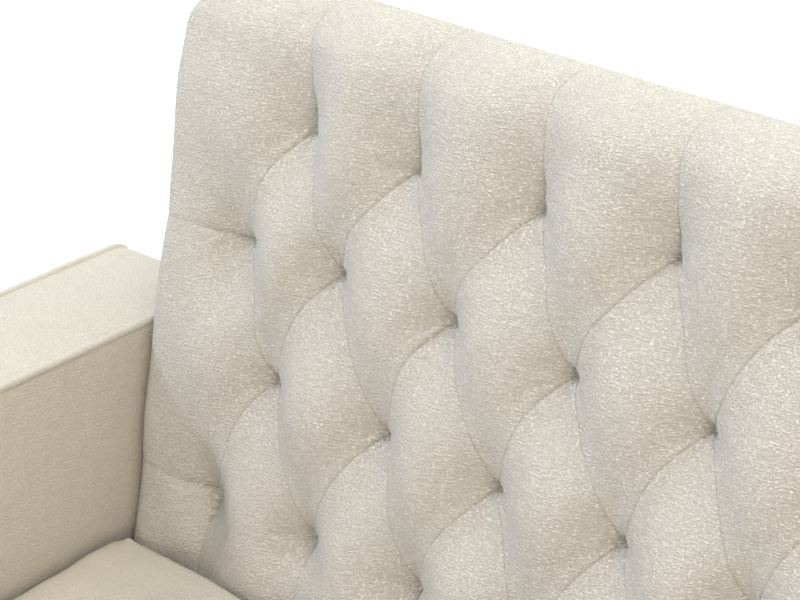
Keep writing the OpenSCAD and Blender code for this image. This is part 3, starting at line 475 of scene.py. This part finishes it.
def piping_mesh(side):
    """Two pipings of one arm: a ring drawn out up the front, turned over the corners and down the rear."""
    name = ("left" if side < 0 else "right") + "_arm"
    low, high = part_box(name + "_boxing")
    inner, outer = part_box(name + "_side_covers")[0].x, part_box(name + "_side_covers")[1].x
    bend = arm_corner - piping_inset
    # The boxing reaches furthest back on the rear bend, and so does the piping
    rear_y = high.y - arm_corner
    bm = bmesh.new()
    for x in (inner + piping_r, outer - piping_r):
        ring = bmesh.ops.create_circle(bm, cap_ends=True, segments=14, radius=piping_r,
                                       matrix=Matrix.Translation((x, low.y + piping_inset, low.z)))
        edges = list({e for v in ring["verts"] for e in v.link_edges})
        axis_z = high.z - arm_corner
        edges = carry_on(bm, edges, Vector((0, 0, axis_z - low.z)) / 40, 40)
        edges = turn_on(bm, edges, (x, low.y + arm_corner, axis_z), math.pi / 2, 10)
        edges = carry_on(bm, edges, Vector((0, rear_y - low.y - arm_corner, 0)) / 60, 60)
        edges = turn_on(bm, edges, (x, rear_y, axis_z), math.pi / 2 + lean, 12)
        run = (axis_z - low.z - bend * math.sin(lean)) / math.cos(lean)
        edges = carry_on(bm, edges, Vector((0, -math.sin(lean), -math.cos(lean))) * run / 40, 40)
        bmesh.ops.holes_fill(bm, edges=edges)
    return to_mesh(bm, name + "_piping_cloth")


for side in (-1, 1):
    mesh = piping_mesh(side)
    at = read_points(mesh)
    uneven = np.stack([ripple(at, seed, size) for seed, size in ((23, 0.06), (29, 0.05), (31, 0.05))], 1)
    write_points(mesh, at + uneven * piping_uneven)
    lay_weave(mesh)
    make_piece(mesh, piping_cloth, "sofa", "cream_fabric", mesh.name.removesuffix("_cloth"))

# Back: one thick pad of foam under cream cloth. Blind tufts pull the cloth back in
# staggered rows, and every panel between them is cut apart and sewn to the next.
tuft_y, tuft_z = 0.305885, 0.783
pitch, row_drop = 0.105, 0.100
last_tuft, rows = 7, 3
puff, seam_top, tuft_base = 0.038, 0.0265, 0.005
parts = 30
crowding = 0.75
side_tuft_x, side_x, top_u = 0.735, 0.8012, 0.0925
corner_r = 0.040
rear_w = -0.0585
top_steps = np.array([0, 4, 9, 15, 22, 30, 38, 46, 54, 61, 67, 72, 77, 81, 84.5, 87.5, 90, 91.6, 92.5]) / 1000
low_steps = np.array([0, 4, 9, 15, 22, 30, 40, 52, 66, 82, 100, 120, 142, 165, 185, 200.8]) / 1000
side_steps = np.array([0, 1.2, 3, 5.5, 9, 14, 20, 27, 34, 41, 47, 52, 56, 59,
                       61.5, 63.5, 65, 65.9, 66.2]) / 66.2
wrap_steps = 8


def rim(bm, test):
    """The open edges whose two ends both pass a test."""
    return [e for e in bm.edges if e.is_boundary and all(test(v.co) for v in e.verts)]


# The net is drawn flat: x counts tufts across, y counts rows down, z counts steps
# round the edge to the rear. The seams between tufts are lines of the net.
bm = bmesh.new()
for i in range(-last_tuft - 1, last_tuft + 3):
    for j in range(-last_tuft - 3, last_tuft + 2):
        if 0 <= i - j <= rows and abs(i + j) < 2 * last_tuft + 1:
            bmesh.ops.create_grid(bm, x_segments=parts, y_segments=parts, size=0.5, matrix=Matrix(
                ((0.5, 0.5, 0, (i + j) / 2), (1, -1, 0, i - j), (0, 0, 1, 0), (0, 0, 0, 1))))
bmesh.ops.remove_doubles(bm, verts=bm.verts, dist=0.0005)
for place, facing in (((0, 0, 0), (0, -1, 0)), ((0, rows, 0), (0, 1, 0)),
                      ((last_tuft, 0, 0), (1, 0, 0)), ((-last_tuft, 0, 0), (-1, 0, 0))):
    bmesh.ops.bisect_plane(bm, geom=bm.verts[:] + bm.edges[:] + bm.faces[:], dist=0.0005,
                           plane_co=place, plane_no=facing, clear_outer=True)
near = 0.001
carry_on(bm, rim(bm, lambda co: co.y < near), (0, -1, 0), len(top_steps) - 1)
carry_on(bm, rim(bm, lambda co: co.y > rows - near), (0, 1, 0), len(low_steps) - 1)
carry_on(bm, rim(bm, lambda co: co.x < near - last_tuft), (-1, 0, 0), len(side_steps) - 1)
carry_on(bm, rim(bm, lambda co: co.x > last_tuft - near), (1, 0, 0), len(side_steps) - 1)
last_rim = carry_on(bm, rim(bm, lambda co: True), (0, 0, 1), wrap_steps)
bmesh.ops.contextual_create(bm, geom=last_rim)
net = to_mesh(bm, "tufted_back")


def crowd(value):
    """Draws the lines of the net together towards the halves, where the seams lie."""
    whole = np.floor(value + 0.5)
    part = value + 0.5 - whole
    return whole - 0.5 + part - crowding / (2 * math.pi) * np.sin(2 * math.pi * part)


def eased(value, low, high):
    """0 below low, 1 above high and smooth between."""
    share = np.clip((value - low) / (high - low), 0, 1)
    return share * share * (3 - 2 * share)


def climb(distance, reach, power):
    """How far cloth has risen from a tuft at a distance along a seam, 0 to 1."""
    return 1 - np.exp(-(np.maximum(distance, 0) / reach) ** power)


def open_out(share):
    """The swell of a panel away from a seam, 0, to its middle, 1: it leaves the seam at a low slope."""
    return 0.3 * share + 0.7 * share ** 1.5


flat = read_points(net)
across, down, wrap = flat[:, 0], flat[:, 1], np.round(flat[:, 2])
past = np.maximum(np.abs(across) - last_tuft, 0)
side_way = np.interp(past, np.arange(len(side_steps)), side_steps)
inner = np.clip(across, -last_tuft, last_tuft)
mid_down = np.clip(down, 0, rows)
falling = crowd(inner + mid_down / 2)
rising = crowd(inner - mid_down / 2)
low_h = crowd(inner + rows / 2) - rows / 2
net_h = np.where(down < 0, crowd(inner), np.where(down > rows, low_h, (falling + rising) / 2))
net_r = falling - rising
u = -net_r * row_drop
u = np.where(down < 0, np.interp(-down, np.arange(len(top_steps)), top_steps), u)
below = np.where(down > rows, np.interp(down - rows, np.arange(len(low_steps)), low_steps), 0.0)
u = np.where(down > rows, -rows * row_drop - below, u)
above = np.maximum(u, 0)

# Outline: straight sides that draw in a little at the side seams, and two round
# corners.
side_taper, taper_from, pinch_reach = 0.0010, -0.20, 0.013
side_pinches = ((-row_drop, 0.0016), (-rows * row_drop, 0.0005))
half = side_x - side_taper * eased(u, taper_from, 0.0)
for seam_u, pinch in side_pinches:
    half -= pinch * np.exp(-((u - seam_u) / pinch_reach) ** 2)
out_x = side_way * (half - side_tuft_x)
flat_x = half - side_tuft_x - corner_r
flat_u = top_u - corner_r
p = np.clip((out_x - flat_x) / corner_r, 0, 1)
q = np.clip((u - flat_u) / corner_r, 0, 1)
cornered = (out_x > flat_x) & (u > flat_u)
rounded_p, rounded_q = p * np.sqrt(1 - q ** 2 / 2), q * np.sqrt(1 - p ** 2 / 2)
out_x = np.where(cornered, flat_x + corner_r * rounded_p, out_x)
u = np.where(cornered, flat_u + corner_r * rounded_q, u)
x = np.where(past > 0, np.sign(across) * (side_tuft_x + out_x), net_h * pitch)
to_side = np.where(past > 0, half - side_tuft_x - out_x, 1.0)
to_top = top_u - u
to_rim = np.where(cornered, corner_r * (1 - np.hypot(rounded_p, rounded_q)), np.minimum(to_side, to_top))
to_rim = np.maximum(to_rim, 0)
corner_way = np.arctan2(rounded_q, rounded_p + 1e-9)
topness = np.where(cornered, corner_way * 2 / math.pi, np.where(to_side < to_top, 0.0, 1.0))
topness = topness ** 2 * (3 - 2 * topness)

# Swell of the panels: each diagonal seam rises from one tuft and falls to the next,
# and a panel swells from its seams to its middle.
away_a, away_b = np.abs(np.cos(math.pi * falling)), np.abs(np.cos(math.pi * rising))
way_left = np.clip(np.ceil(rising - 0.5) + 0.5 - rising, 0, 1)
way_right = np.clip(falling + 0.5 - np.floor(falling + 0.5), 0, 1)
seam_a = tuft_base + (seam_top - tuft_base) * np.sin(math.pi * way_left) ** 0.8
seam_b = tuft_base + (seam_top - tuft_base) * np.sin(math.pi * way_right) ** 0.8
share_a = away_b ** 2 / (away_a ** 2 + away_b ** 2 + 1e-9)
seams = seam_b + (seam_a - seam_b) * share_a
zone = seams + (puff - seams) * open_out(away_a * away_b)
top_fall, side_fall, side_reach = 0.004, 0.002, 0.05
pleat_up, pleat_high = [0, 0.014, 0.029, 0.044, 0.06, 0.1], [0.005, 0.009, 0.013, 0.016, 0.017, 0.017]
low_seam_high, low_climb, side_seam_high, side_climb = 0.025, 0.026, 0.036, 0.024
top_panel = puff - top_fall * eased(above, 0.0, 0.075)
top_seam = np.interp(above, pleat_up, pleat_high)
top_field = top_seam + (top_panel - top_seam) * open_out(np.abs(np.cos(math.pi * net_h)))
low_seam = tuft_base + (low_seam_high - tuft_base) * climb(below, low_climb, 1.3)
low_field = low_seam + (puff - low_seam) * open_out(np.abs(np.sin(math.pi * net_h)))
side_panel = puff - side_fall * eased(out_x, 0, side_reach)
side_seam = tuft_base + (side_seam_high - tuft_base) * climb(out_x, side_climb, 1.1)
side_seam += (side_panel - side_seam) * 0.85 * eased(out_x, 0.028, 0.058)
side_field = side_seam + (side_panel - side_seam) * open_out(np.abs(np.cos(math.pi * net_r / 2)))
top_blend, edge_blend, low_reach = 0.035, 0.03, 0.085
field = (zone + (top_field - zone) * eased(above, 0, top_blend) * (down < 0)
         + (low_field - zone) * eased(below, 0, edge_blend)
         + (side_field - zone) * eased(out_x, 0, edge_blend) * (down <= rows))
from_low, from_out = open_out(eased(below, 0, low_reach)), open_out(eased(out_x, 0, side_reach))
low_corner = (puff - (puff - side_seam) * (1 - from_low) - (puff - low_seam) * (1 - from_out)
              + (puff - tuft_base) * (1 - from_low) * (1 - from_out))
face = np.where((past > 0) & (down > rows), low_corner, field)
bow_out = 0.0062


def bow(way):
    """How far a diagonal seam bows outwards on its way down from a tuft."""
    return bow_out * np.sin(math.pi * way ** 0.6)


inside = (down >= 0) & (down <= rows) & (past == 0)
x = x + np.where(inside, bow(way_right) * (1 - away_b) ** 1.5 * away_a ** 0.5
                 - bow(way_left) * (1 - away_a) ** 1.5 * away_b ** 0.5, 0.0)


def to_half(value):
    """How far a value is from the nearest half."""
    return np.abs(value + 0.5 - np.round(value + 0.5))


# Seams: a narrow groove where two panels are sewn together
seam_gap = np.minimum(to_half(falling), to_half(rising)) * 0.093
seam_gap = np.where(down < 0, to_half(net_h) * pitch, seam_gap)
seam_gap = np.where(down > rows, np.abs(net_h - np.round(net_h)) * pitch, seam_gap)
side_gap = np.minimum(np.abs(net_r - 1), np.abs(net_r - 3)) * row_drop
side_gap = np.where(down > rows, np.minimum(below, out_x), side_gap)
side_gap = np.where(down < 0, 1.0, side_gap)
seam_gap = np.where(past > 0, side_gap, seam_gap)

# Shifts of the tufts off their even grid, in millimetres across and up. Those in the table were given after
# the tufts that the picture shows. The rest are a small chance unevenness.
tufts = [(k - (last_tuft - 0.5) if r % 2 == 0 else k - last_tuft, r)
         for r in range(rows + 1) for k in range(2 * last_tuft + r % 2)]
drift = {(-6.5, 0): (8, 1), (-5.5, 0): (1, -1.5), (-4.5, 0): (3.5, 0.5), (-3.5, 0): (5, 0.5),
         (-7, 1): (13, 3), (-6, 1): (-2, 6), (-5, 1): (-2.5, 4), (-4, 1): (-3.5, 0.5),
         (-6.5, 2): (0, 5), (-5.5, 2): (5, 3.5), (-4.5, 2): (3, 1.5), (-3.5, 2): (2.5, 3),
         (-7, 3): (6.5, -4), (-6, 3): (2.5, -1), (-5, 3): (0, 2.5)}
rng = np.random.default_rng(41)
shift_reach, side_seam_lift, lift_reach = 0.045, 0.0075, 0.045
pull = np.zeros((len(flat), 2))
weight_sum = np.full(len(flat), 1e-6)
to_tuft = np.full(len(flat), 9.0)
turn_to_tuft = np.zeros(len(flat))
tuft_number = np.zeros(len(flat), int)
for number, tuft in enumerate(tufts):
    chance = rng.uniform(-2.5, 2.5, 2)
    shift = np.array(drift.get(tuft, chance)) / 1000
    away_x, away_u = x - tuft[0] * pitch, u + tuft[1] * row_drop
    away = np.hypot(away_x, away_u)
    weight = np.exp(-(away / shift_reach) ** 2)
    pull += weight[:, None] * shift
    weight_sum += weight
    closer = away < to_tuft
    turn_to_tuft = np.where(closer, np.arctan2(away_u, away_x), turn_to_tuft)
    tuft_number = np.where(closer, number, tuft_number)
    to_tuft = np.where(closer, away, to_tuft)
pull /= weight_sum[:, None]
hold = eased(to_rim, 0.0, 0.05) * eased(below, 0.2, 0.1)
x = x + pull[:, 0] * hold
u = u + pull[:, 1] * hold
near_seam = sum(np.exp(-((u + row * row_drop) / lift_reach) ** 2) for row in (1, rows))
u = u + side_seam_lift * near_seam * eased(out_x, 0, lift_reach) * (past > 0)

# Fine folds that run into each tuft, and a slow unevenness of the stuffing
phase = rng.uniform(0, 2 * math.pi, (len(tufts), 3))
folds = np.zeros(len(flat))
for k, (count, size) in enumerate(((7, 0.5), (11, 0.35), (17, 0.25))):
    folds += size * np.sin(count * turn_to_tuft + phase[tuft_number, k])
fold_ring = 0.013
more_on_left = 1 + 0.9 * np.clip(-np.cos(turn_to_tuft), 0, 1)
near_tuft = np.exp(-((to_tuft - fold_ring) / fold_ring) ** 2) * more_on_left
fold_size, pit_r, stuffing_size = 0.0009, 0.0045, 0.0016
groove_half, groove_deep, groove_deeper = 0.0011, 0.0006, 0.0016
face = face + fold_size * folds * near_tuft
face = face * (1 - np.exp(-(to_tuft / pit_r) ** 2))
groove = groove_deep + groove_deeper * np.exp(-(to_tuft / 0.018) ** 2)
face = face - groove * np.exp(-(seam_gap / groove_half) ** 2)
spots = np.stack([x, u, wrap * 0.01], 1)
face = face + stuffing_size * ripple(spots, 43, 0.11) * eased(to_tuft, 0.01, 0.04)

# Over the edge and round to the rear
cushion_gap = 0.0012
side_roll, roll_more, side_roll_w, roll_w_less = 0.016, 0.020, 0.008, 0.040
cushion_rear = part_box("left_cushion_cover")[1].y + cushion_gap
limit = (tuft_y + u * math.sin(lean) - cushion_rear) / math.cos(lean)
face = np.where(down > rows, np.minimum(face, limit), face)
edge_r = side_roll + roll_more * topness
edge_w = side_roll_w - roll_w_less * topness
rolled = np.sqrt(1 - (1 - np.clip(to_rim / edge_r, 0, 1)) ** 2)
w = edge_w + (face - edge_w) * rolled
front_w = w.copy()
w = np.where(wrap > 0, w + (rear_w - w) * wrap / wrap_steps, w)
band_r, band_start = 0.047, 0.032
crown = band_r - np.sqrt(band_r ** 2 - np.minimum(w + band_start, 0) ** 2)
out_way = np.where(cornered, corner_way, np.where(to_side < to_top, 0.0, math.pi / 2))
at_bottom = (down > rows + len(low_steps) - 1.5) & (past < len(side_steps) - 1.5)
draw_in = np.where((wrap > 0) & ~at_bottom, crown, 0.0)
x = x - np.sign(x) * draw_in * np.cos(out_way)
u = u - draw_in * np.sin(out_way)


def leaning(x, u, w):
    """Places on the back from its own frame: across, up along the lean, and forwards."""
    return np.stack([x, tuft_y + u * math.sin(lean) - w * math.cos(lean),
                     tuft_z + u * math.cos(lean) + w * math.sin(lean)], 1)


write_points(net, leaning(x, u, w))
# The closeness to the seams darkens the cloth there in its shader: painted shade along the seams.
mark_seams(net, np.where(wrap > 3, 0.0, 1 - seam_gap / 0.003))
cloth_over = 0.7
drop = ((np.where(wrap > 0, front_w, face) - w) * cloth_over
        + np.where(wrap > 0, (face - front_w) * cloth_over, 0.0))
cloth = np.stack([x + np.sign(x) * np.cos(out_way) * drop, u + np.sin(out_way) * drop], 1)
store_weave(net, cloth[corners(net)])
bm = bmesh.new()
bm.from_mesh(net)
bmesh.ops.recalc_face_normals(bm, faces=bm.faces)
bm.to_mesh(net)
bm.free()
back = make_piece(net, cream, "sofa", "cream_fabric", "back_tufted_cover", "back_foam", "back_edge_band")

# Tuft twines: waxed twine that runs from each tuft through the foam and the board to a
# black anchor behind it. The twines keep to the even grid, beside the shifted tufts.
twine, tree, shader = new_finish("waxed_twine", 0.6)
place = add(tree, "ShaderNodeTexCoord").outputs["Object"]
lay = add(tree, "ShaderNodeTexWave", {"bands_direction": "DIAGONAL"}, {"Vector": place, "Scale": 500.0})
tone = blended(tree, lay.outputs[0], (0.70, 0.66, 0.56), (0.86, 0.82, 0.74))
tree.links.new(tone, shader.inputs["Base Color"])
roughen(tree, shader, lay.outputs[0], 0.0003, 0.4)
dress(twine, "tuft_twines")

# Outside back: one flat panel of the same cloth, tacked under the lower edge and
# sewn blind to the band up both sides and over the top. Below the deck it is wider.
outside_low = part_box("back_outside_cover")[0]
outside_half, low_half, outside_r = 0.7925, 0.8008, 0.036
outside_top, deck_u, outside_thick = 0.0835, -0.490, 0.0015
bm = bmesh.new()
bmesh.ops.create_grid(bm, x_segments=120, y_segments=56, size=0.5)
outside_bottom = (outside_low.z - tuft_z - (rear_w - 0.001) * math.sin(lean)) / math.cos(lean)
mesh = to_mesh(bm, "outside_back")
flat = read_points(mesh)
u = outside_bottom + (flat[:, 1] + 0.5) * (outside_top - outside_bottom)
x = flat[:, 0] * 2 * np.where(u < deck_u, low_half, outside_half)
p = np.clip((np.abs(x) - outside_half + outside_r) / outside_r, 0, 1)
q = np.clip((u - outside_top + outside_r) / outside_r, 0, 1)
cornered = (p > 0) & (q > 0)
x = np.where(cornered, np.sign(x) * (outside_half - outside_r + outside_r * p * np.sqrt(1 - q ** 2 / 2)), x)
u = np.where(cornered, outside_top - outside_r + outside_r * q * np.sqrt(1 - p ** 2 / 2), u)
to_edge = np.minimum(outside_half - np.abs(x), np.minimum(outside_top - u, u - outside_bottom))
outside_dip, outside_uneven = 0.0022, 0.0008
uneven = ripple(np.stack([x, u, u * 0], 1), 53, 0.3)
w = rear_w - outside_dip * eased(to_edge, -0.002, 0.012) + outside_uneven * uneven
write_points(mesh, leaning(x, u, w))
bm = bmesh.new()
bm.from_mesh(mesh)
bmesh.ops.solidify(bm, geom=bm.faces[:], thickness=outside_thick)
bmesh.ops.recalc_face_normals(bm, faces=bm.faces)
bm.to_mesh(mesh)
bm.free()
lay_weave(mesh)
outside = make_piece(mesh, cream, "sofa", "cream_fabric", "back_outside_cover")

# Seat cushions: two loose boxed cushions of foam in a fibre wrap, free on the deck.
# The cover's panels are crowned, its sides pull in between the corners, and its edges
# are sewn plain.
round_r, side_pull, rear_pull, edge_tuck = 0.020, 0.0030, 0.0008, 0.0040
low_seam_up, top_seam_down = 0.010, 0.018
panel_rise, panel_crown = 0.0150, 0.0030
side_shoulder, front_shoulder, rear_shoulder = 0.018, 0.020, 0.011
skin_uneven, belly, belly_reach = 0.0006, 0.012, 0.03
corner_fold, corner_dip, corner_reach = 0.0012, 0.0035, 0.020


def cushion_mesh(name):
    """A boxed cover that is full right up to its edges, soft at its corners and flat where it rests."""
    low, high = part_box(name + "_cover")
    bm = bmesh.new()
    bmesh.ops.create_cube(bm, size=2.0)
    for axis, count in enumerate((159, 113, 31)):
        edges = [e for e in bm.edges if abs((e.verts[0].co - e.verts[1].co)[axis]) > 1.9]
        bmesh.ops.subdivide_edges(bm, edges=edges, cuts=count, use_grid_fill=True)
    mesh = to_mesh(bm, name + "_filled")
    share = read_points(mesh)
    for axis in (0, 1):
        share[:, axis] = 0.45 * share[:, axis] + 0.55 * np.sin(share[:, axis] * math.pi / 2)
    half = np.array((high - low) / 2)
    in_x, in_y = (1 - np.abs(share[:, 0])) * half[0], (1 - np.abs(share[:, 1])) * half[1]

    def rise(distance, reach):
        """A quarter round, from 0 at an edge to 1 at its reach."""
        return np.sqrt(np.clip(1 - (1 - np.clip(distance / reach, 0, 1)) ** 2, 0, 1))

    # Corners in plan: round, and full sides that draw in a little on their way from one to the other
    p = np.clip(1 - in_x / round_r, 0, 1)
    q = np.clip(1 - in_y / round_r, 0, 1)
    x = np.sign(share[:, 0]) * (half[0] - in_x - round_r * p * (1 - np.sqrt(1 - q ** 2 / 2)))
    y = np.sign(share[:, 1]) * (half[1] - in_y - round_r * q * (1 - np.sqrt(1 - p ** 2 / 2)))
    pull_x = side_pull * (1 - share[:, 1] ** 2) ** 0.7
    rear = share[:, 1] > 0
    pull_y = np.where(rear, rear_pull, side_pull) * (1 - share[:, 0] ** 2) ** 0.7
    # The sewn edges lie a little inside the fullest line of the boxing
    boxed = 1 - share[:, 2] ** 2
    tuck = edge_tuck * (1 - boxed ** 0.6)
    wave = ripple(np.stack([x, y, share[:, 2] * 0.05], 1), 61, 0.07)
    pull_x = pull_x + tuck + skin_uneven * (1 + wave)
    pull_y = pull_y + tuck * np.where(rear, 0.3, 1.0) + skin_uneven * (1 + wave)
    x -= np.sign(share[:, 0]) * pull_x * eased(np.abs(share[:, 0]), 0.5, 1.0)
    y -= np.sign(share[:, 1]) * pull_y * eased(np.abs(share[:, 1]), 0.5, 1.0)
    # Panels: a quick rise from the seam and a slow crown, lower towards the corners
    low_seam, top_seam = low.z + low_seam_up, high.z - top_seam_down
    shoulder = rise(in_x, side_shoulder) * rise(in_y, np.where(rear, rear_shoulder, front_shoulder))
    crown = np.clip((1 - share[:, 0] ** 2) * (1 - share[:, 1] ** 2), 0, 1) ** 0.5
    above = panel_rise * shoulder + panel_crown * crown
    plan = np.stack([x, y, x * 0], 1)
    above += (0.0011 * ripple(plan, 67, 0.16) + 0.0004 * ripple(plan, 71, 0.05)) * shoulder
    # Small folds run from each corner of the top panel
    off_x, off_y = in_x + 0.004, in_y + 0.004
    corner = np.exp(-((np.hypot(off_x, off_y) - 0.018) / corner_reach) ** 2)
    above += (corner_fold * corner * np.sin(np.arctan2(off_y, off_x) * 13 + 1.5 * wave)
              - corner_dip * np.exp(-np.hypot(in_x, in_y) / corner_reach))
    seam_wave = 0.0009 * ripple(plan, 73, 0.045)
    top_z = np.minimum(top_seam + above + seam_wave, high.z)
    below = np.maximum(low_seam - belly * rise(in_x, belly_reach) * rise(in_y, belly_reach), low.z)
    side_z = low_seam + (share[:, 2] + 1) / 2 * (top_seam + seam_wave - low_seam)
    z = np.where(share[:, 2] > 0.999, top_z, np.where(share[:, 2] < -0.999, below, side_z))
    middle = np.array((low + high) / 2)
    write_points(mesh, np.stack([middle[0] + x, middle[1] + y, z], 1))
    edge = np.minimum(np.maximum(1 - np.abs(share[:, 2]), 0) * 0.06, 1.0)
    flat = np.abs(share[:, 2]) > 0.999
    edge = np.where(flat, np.minimum(in_x, in_y), edge)
    # The sewn edges darken the cloth there in its shader: painted shade along the seams.
    mark_seams(mesh, 1 - edge / 0.004)
    lay_weave(mesh)
    return mesh


for name in ("left_cushion", "right_cushion"):
    cushion = make_piece(cushion_mesh(name), shaded_cream, name, "cream_fabric",
                         name + "_cover", name + "_foam")

# Room: a plain pale floor that runs back out of sight, a pale sky, a lamp high on the
# left in front of the sofa, a larger and weaker one above it and a warm one on the right.
floor_half, floor_glow, sky_light, sky_seen = 30.0, 0.35, 1.14, 1.0


def looked_at(tree):
    """1 for what is seen itself, in a mirror or through glass, and 0 for what only gives light."""
    seen = add(tree, "ShaderNodeLightPath")
    looks = maths(tree, "MAXIMUM", seen.outputs["Is Camera Ray"], seen.outputs["Is Glossy Ray"])
    return maths(tree, "MAXIMUM", looks, seen.outputs["Is Transmission Ray"])


bm = bmesh.new()
bmesh.ops.create_grid(bm, x_segments=1, y_segments=1, size=floor_half)
floor_mesh = to_mesh(bm, "floor")
floor_paint, tree, shader = new_finish("floor_paint", 0.9)
shader.inputs["Base Color"].default_value = (0.80, 0.80, 0.79, 1.0)
shader.inputs["Specular IOR Level"].default_value = 0.0
glow = add(tree, "ShaderNodeEmission", {},
           {"Color": (1.0, 1.0, 1.0, 1.0), "Strength": maths(tree, "MULTIPLY", looked_at(tree), floor_glow)})
both = add(tree, "ShaderNodeAddShader", {}, {0: shader.outputs[0], 1: glow.outputs[0]})
tree.links.new(both.outputs[0], tree.nodes["Material Output"].inputs["Surface"])
floor_mesh.materials.append(floor_paint)
floor = bpy.data.objects.new("floor", floor_mesh)
bpy.context.scene.collection.objects.link(floor)

world = bpy.data.worlds.new("studio")
bpy.context.scene.world = world
world.use_nodes = True
tree = world.node_tree
sky = tree.nodes["Background"]
looks = looked_at(tree)
tree.links.new(blended(tree, looks, (0.86, 0.95, 1.0), (1.0, 1.0, 1.0)), sky.inputs["Color"])
tree.links.new(ramp(tree, looks, 0.0, 1.0, sky_light, sky_seen), sky.inputs["Strength"])


def soft_lamp(name, place, target, size, power, colour):
    """A square lamp that faces a point."""
    light = bpy.data.lights.new(name, "AREA")
    light.shape = "SQUARE"
    light.size = size
    light.energy = power
    light.color = colour
    lamp = bpy.data.objects.new(name, light)
    bpy.context.scene.collection.objects.link(lamp)
    lamp.location = place
    lamp.rotation_euler = (Vector(target) - Vector(place)).to_track_quat("-Z", "Y").to_euler()


soft_lamp("key_lamp", (-5.3, -3.1, 5.5), (-0.4, 0.1, 0.6), 1.1, 217.0, (0.80, 0.81, 1.0))
soft_lamp("top_lamp", (-0.2, 0.9, 4.6), (-0.2, 0.1, 0.5), 3.0, 110.0, (1.0, 0.90, 0.74))
soft_lamp("fill_lamp", (3.0, -2.6, 2.2), (-0.5, 0.1, 0.5), 2.4, 68.0, (1.0, 0.70, 0.42))

# Camera: a long lens, close to the back's left end, that looks down at it from its right.
camera_tilt, camera_turn = math.radians(90 - 27.09), math.radians(41.88)
camera_data = bpy.data.cameras.new("camera")
camera_data.lens = 92.25
camera_data.sensor_width = 36.0
camera_data.clip_start = 0.05
camera = bpy.data.objects.new("camera", camera_data)
bpy.context.scene.collection.objects.link(camera)
camera.location = (0.2743, tuft_y - 0.9736, 1.3415)
camera.rotation_euler = (camera_tilt, 0.0, camera_turn)
bpy.context.scene.camera = camera
bpy.context.scene.view_settings.view_transform = "Standard"
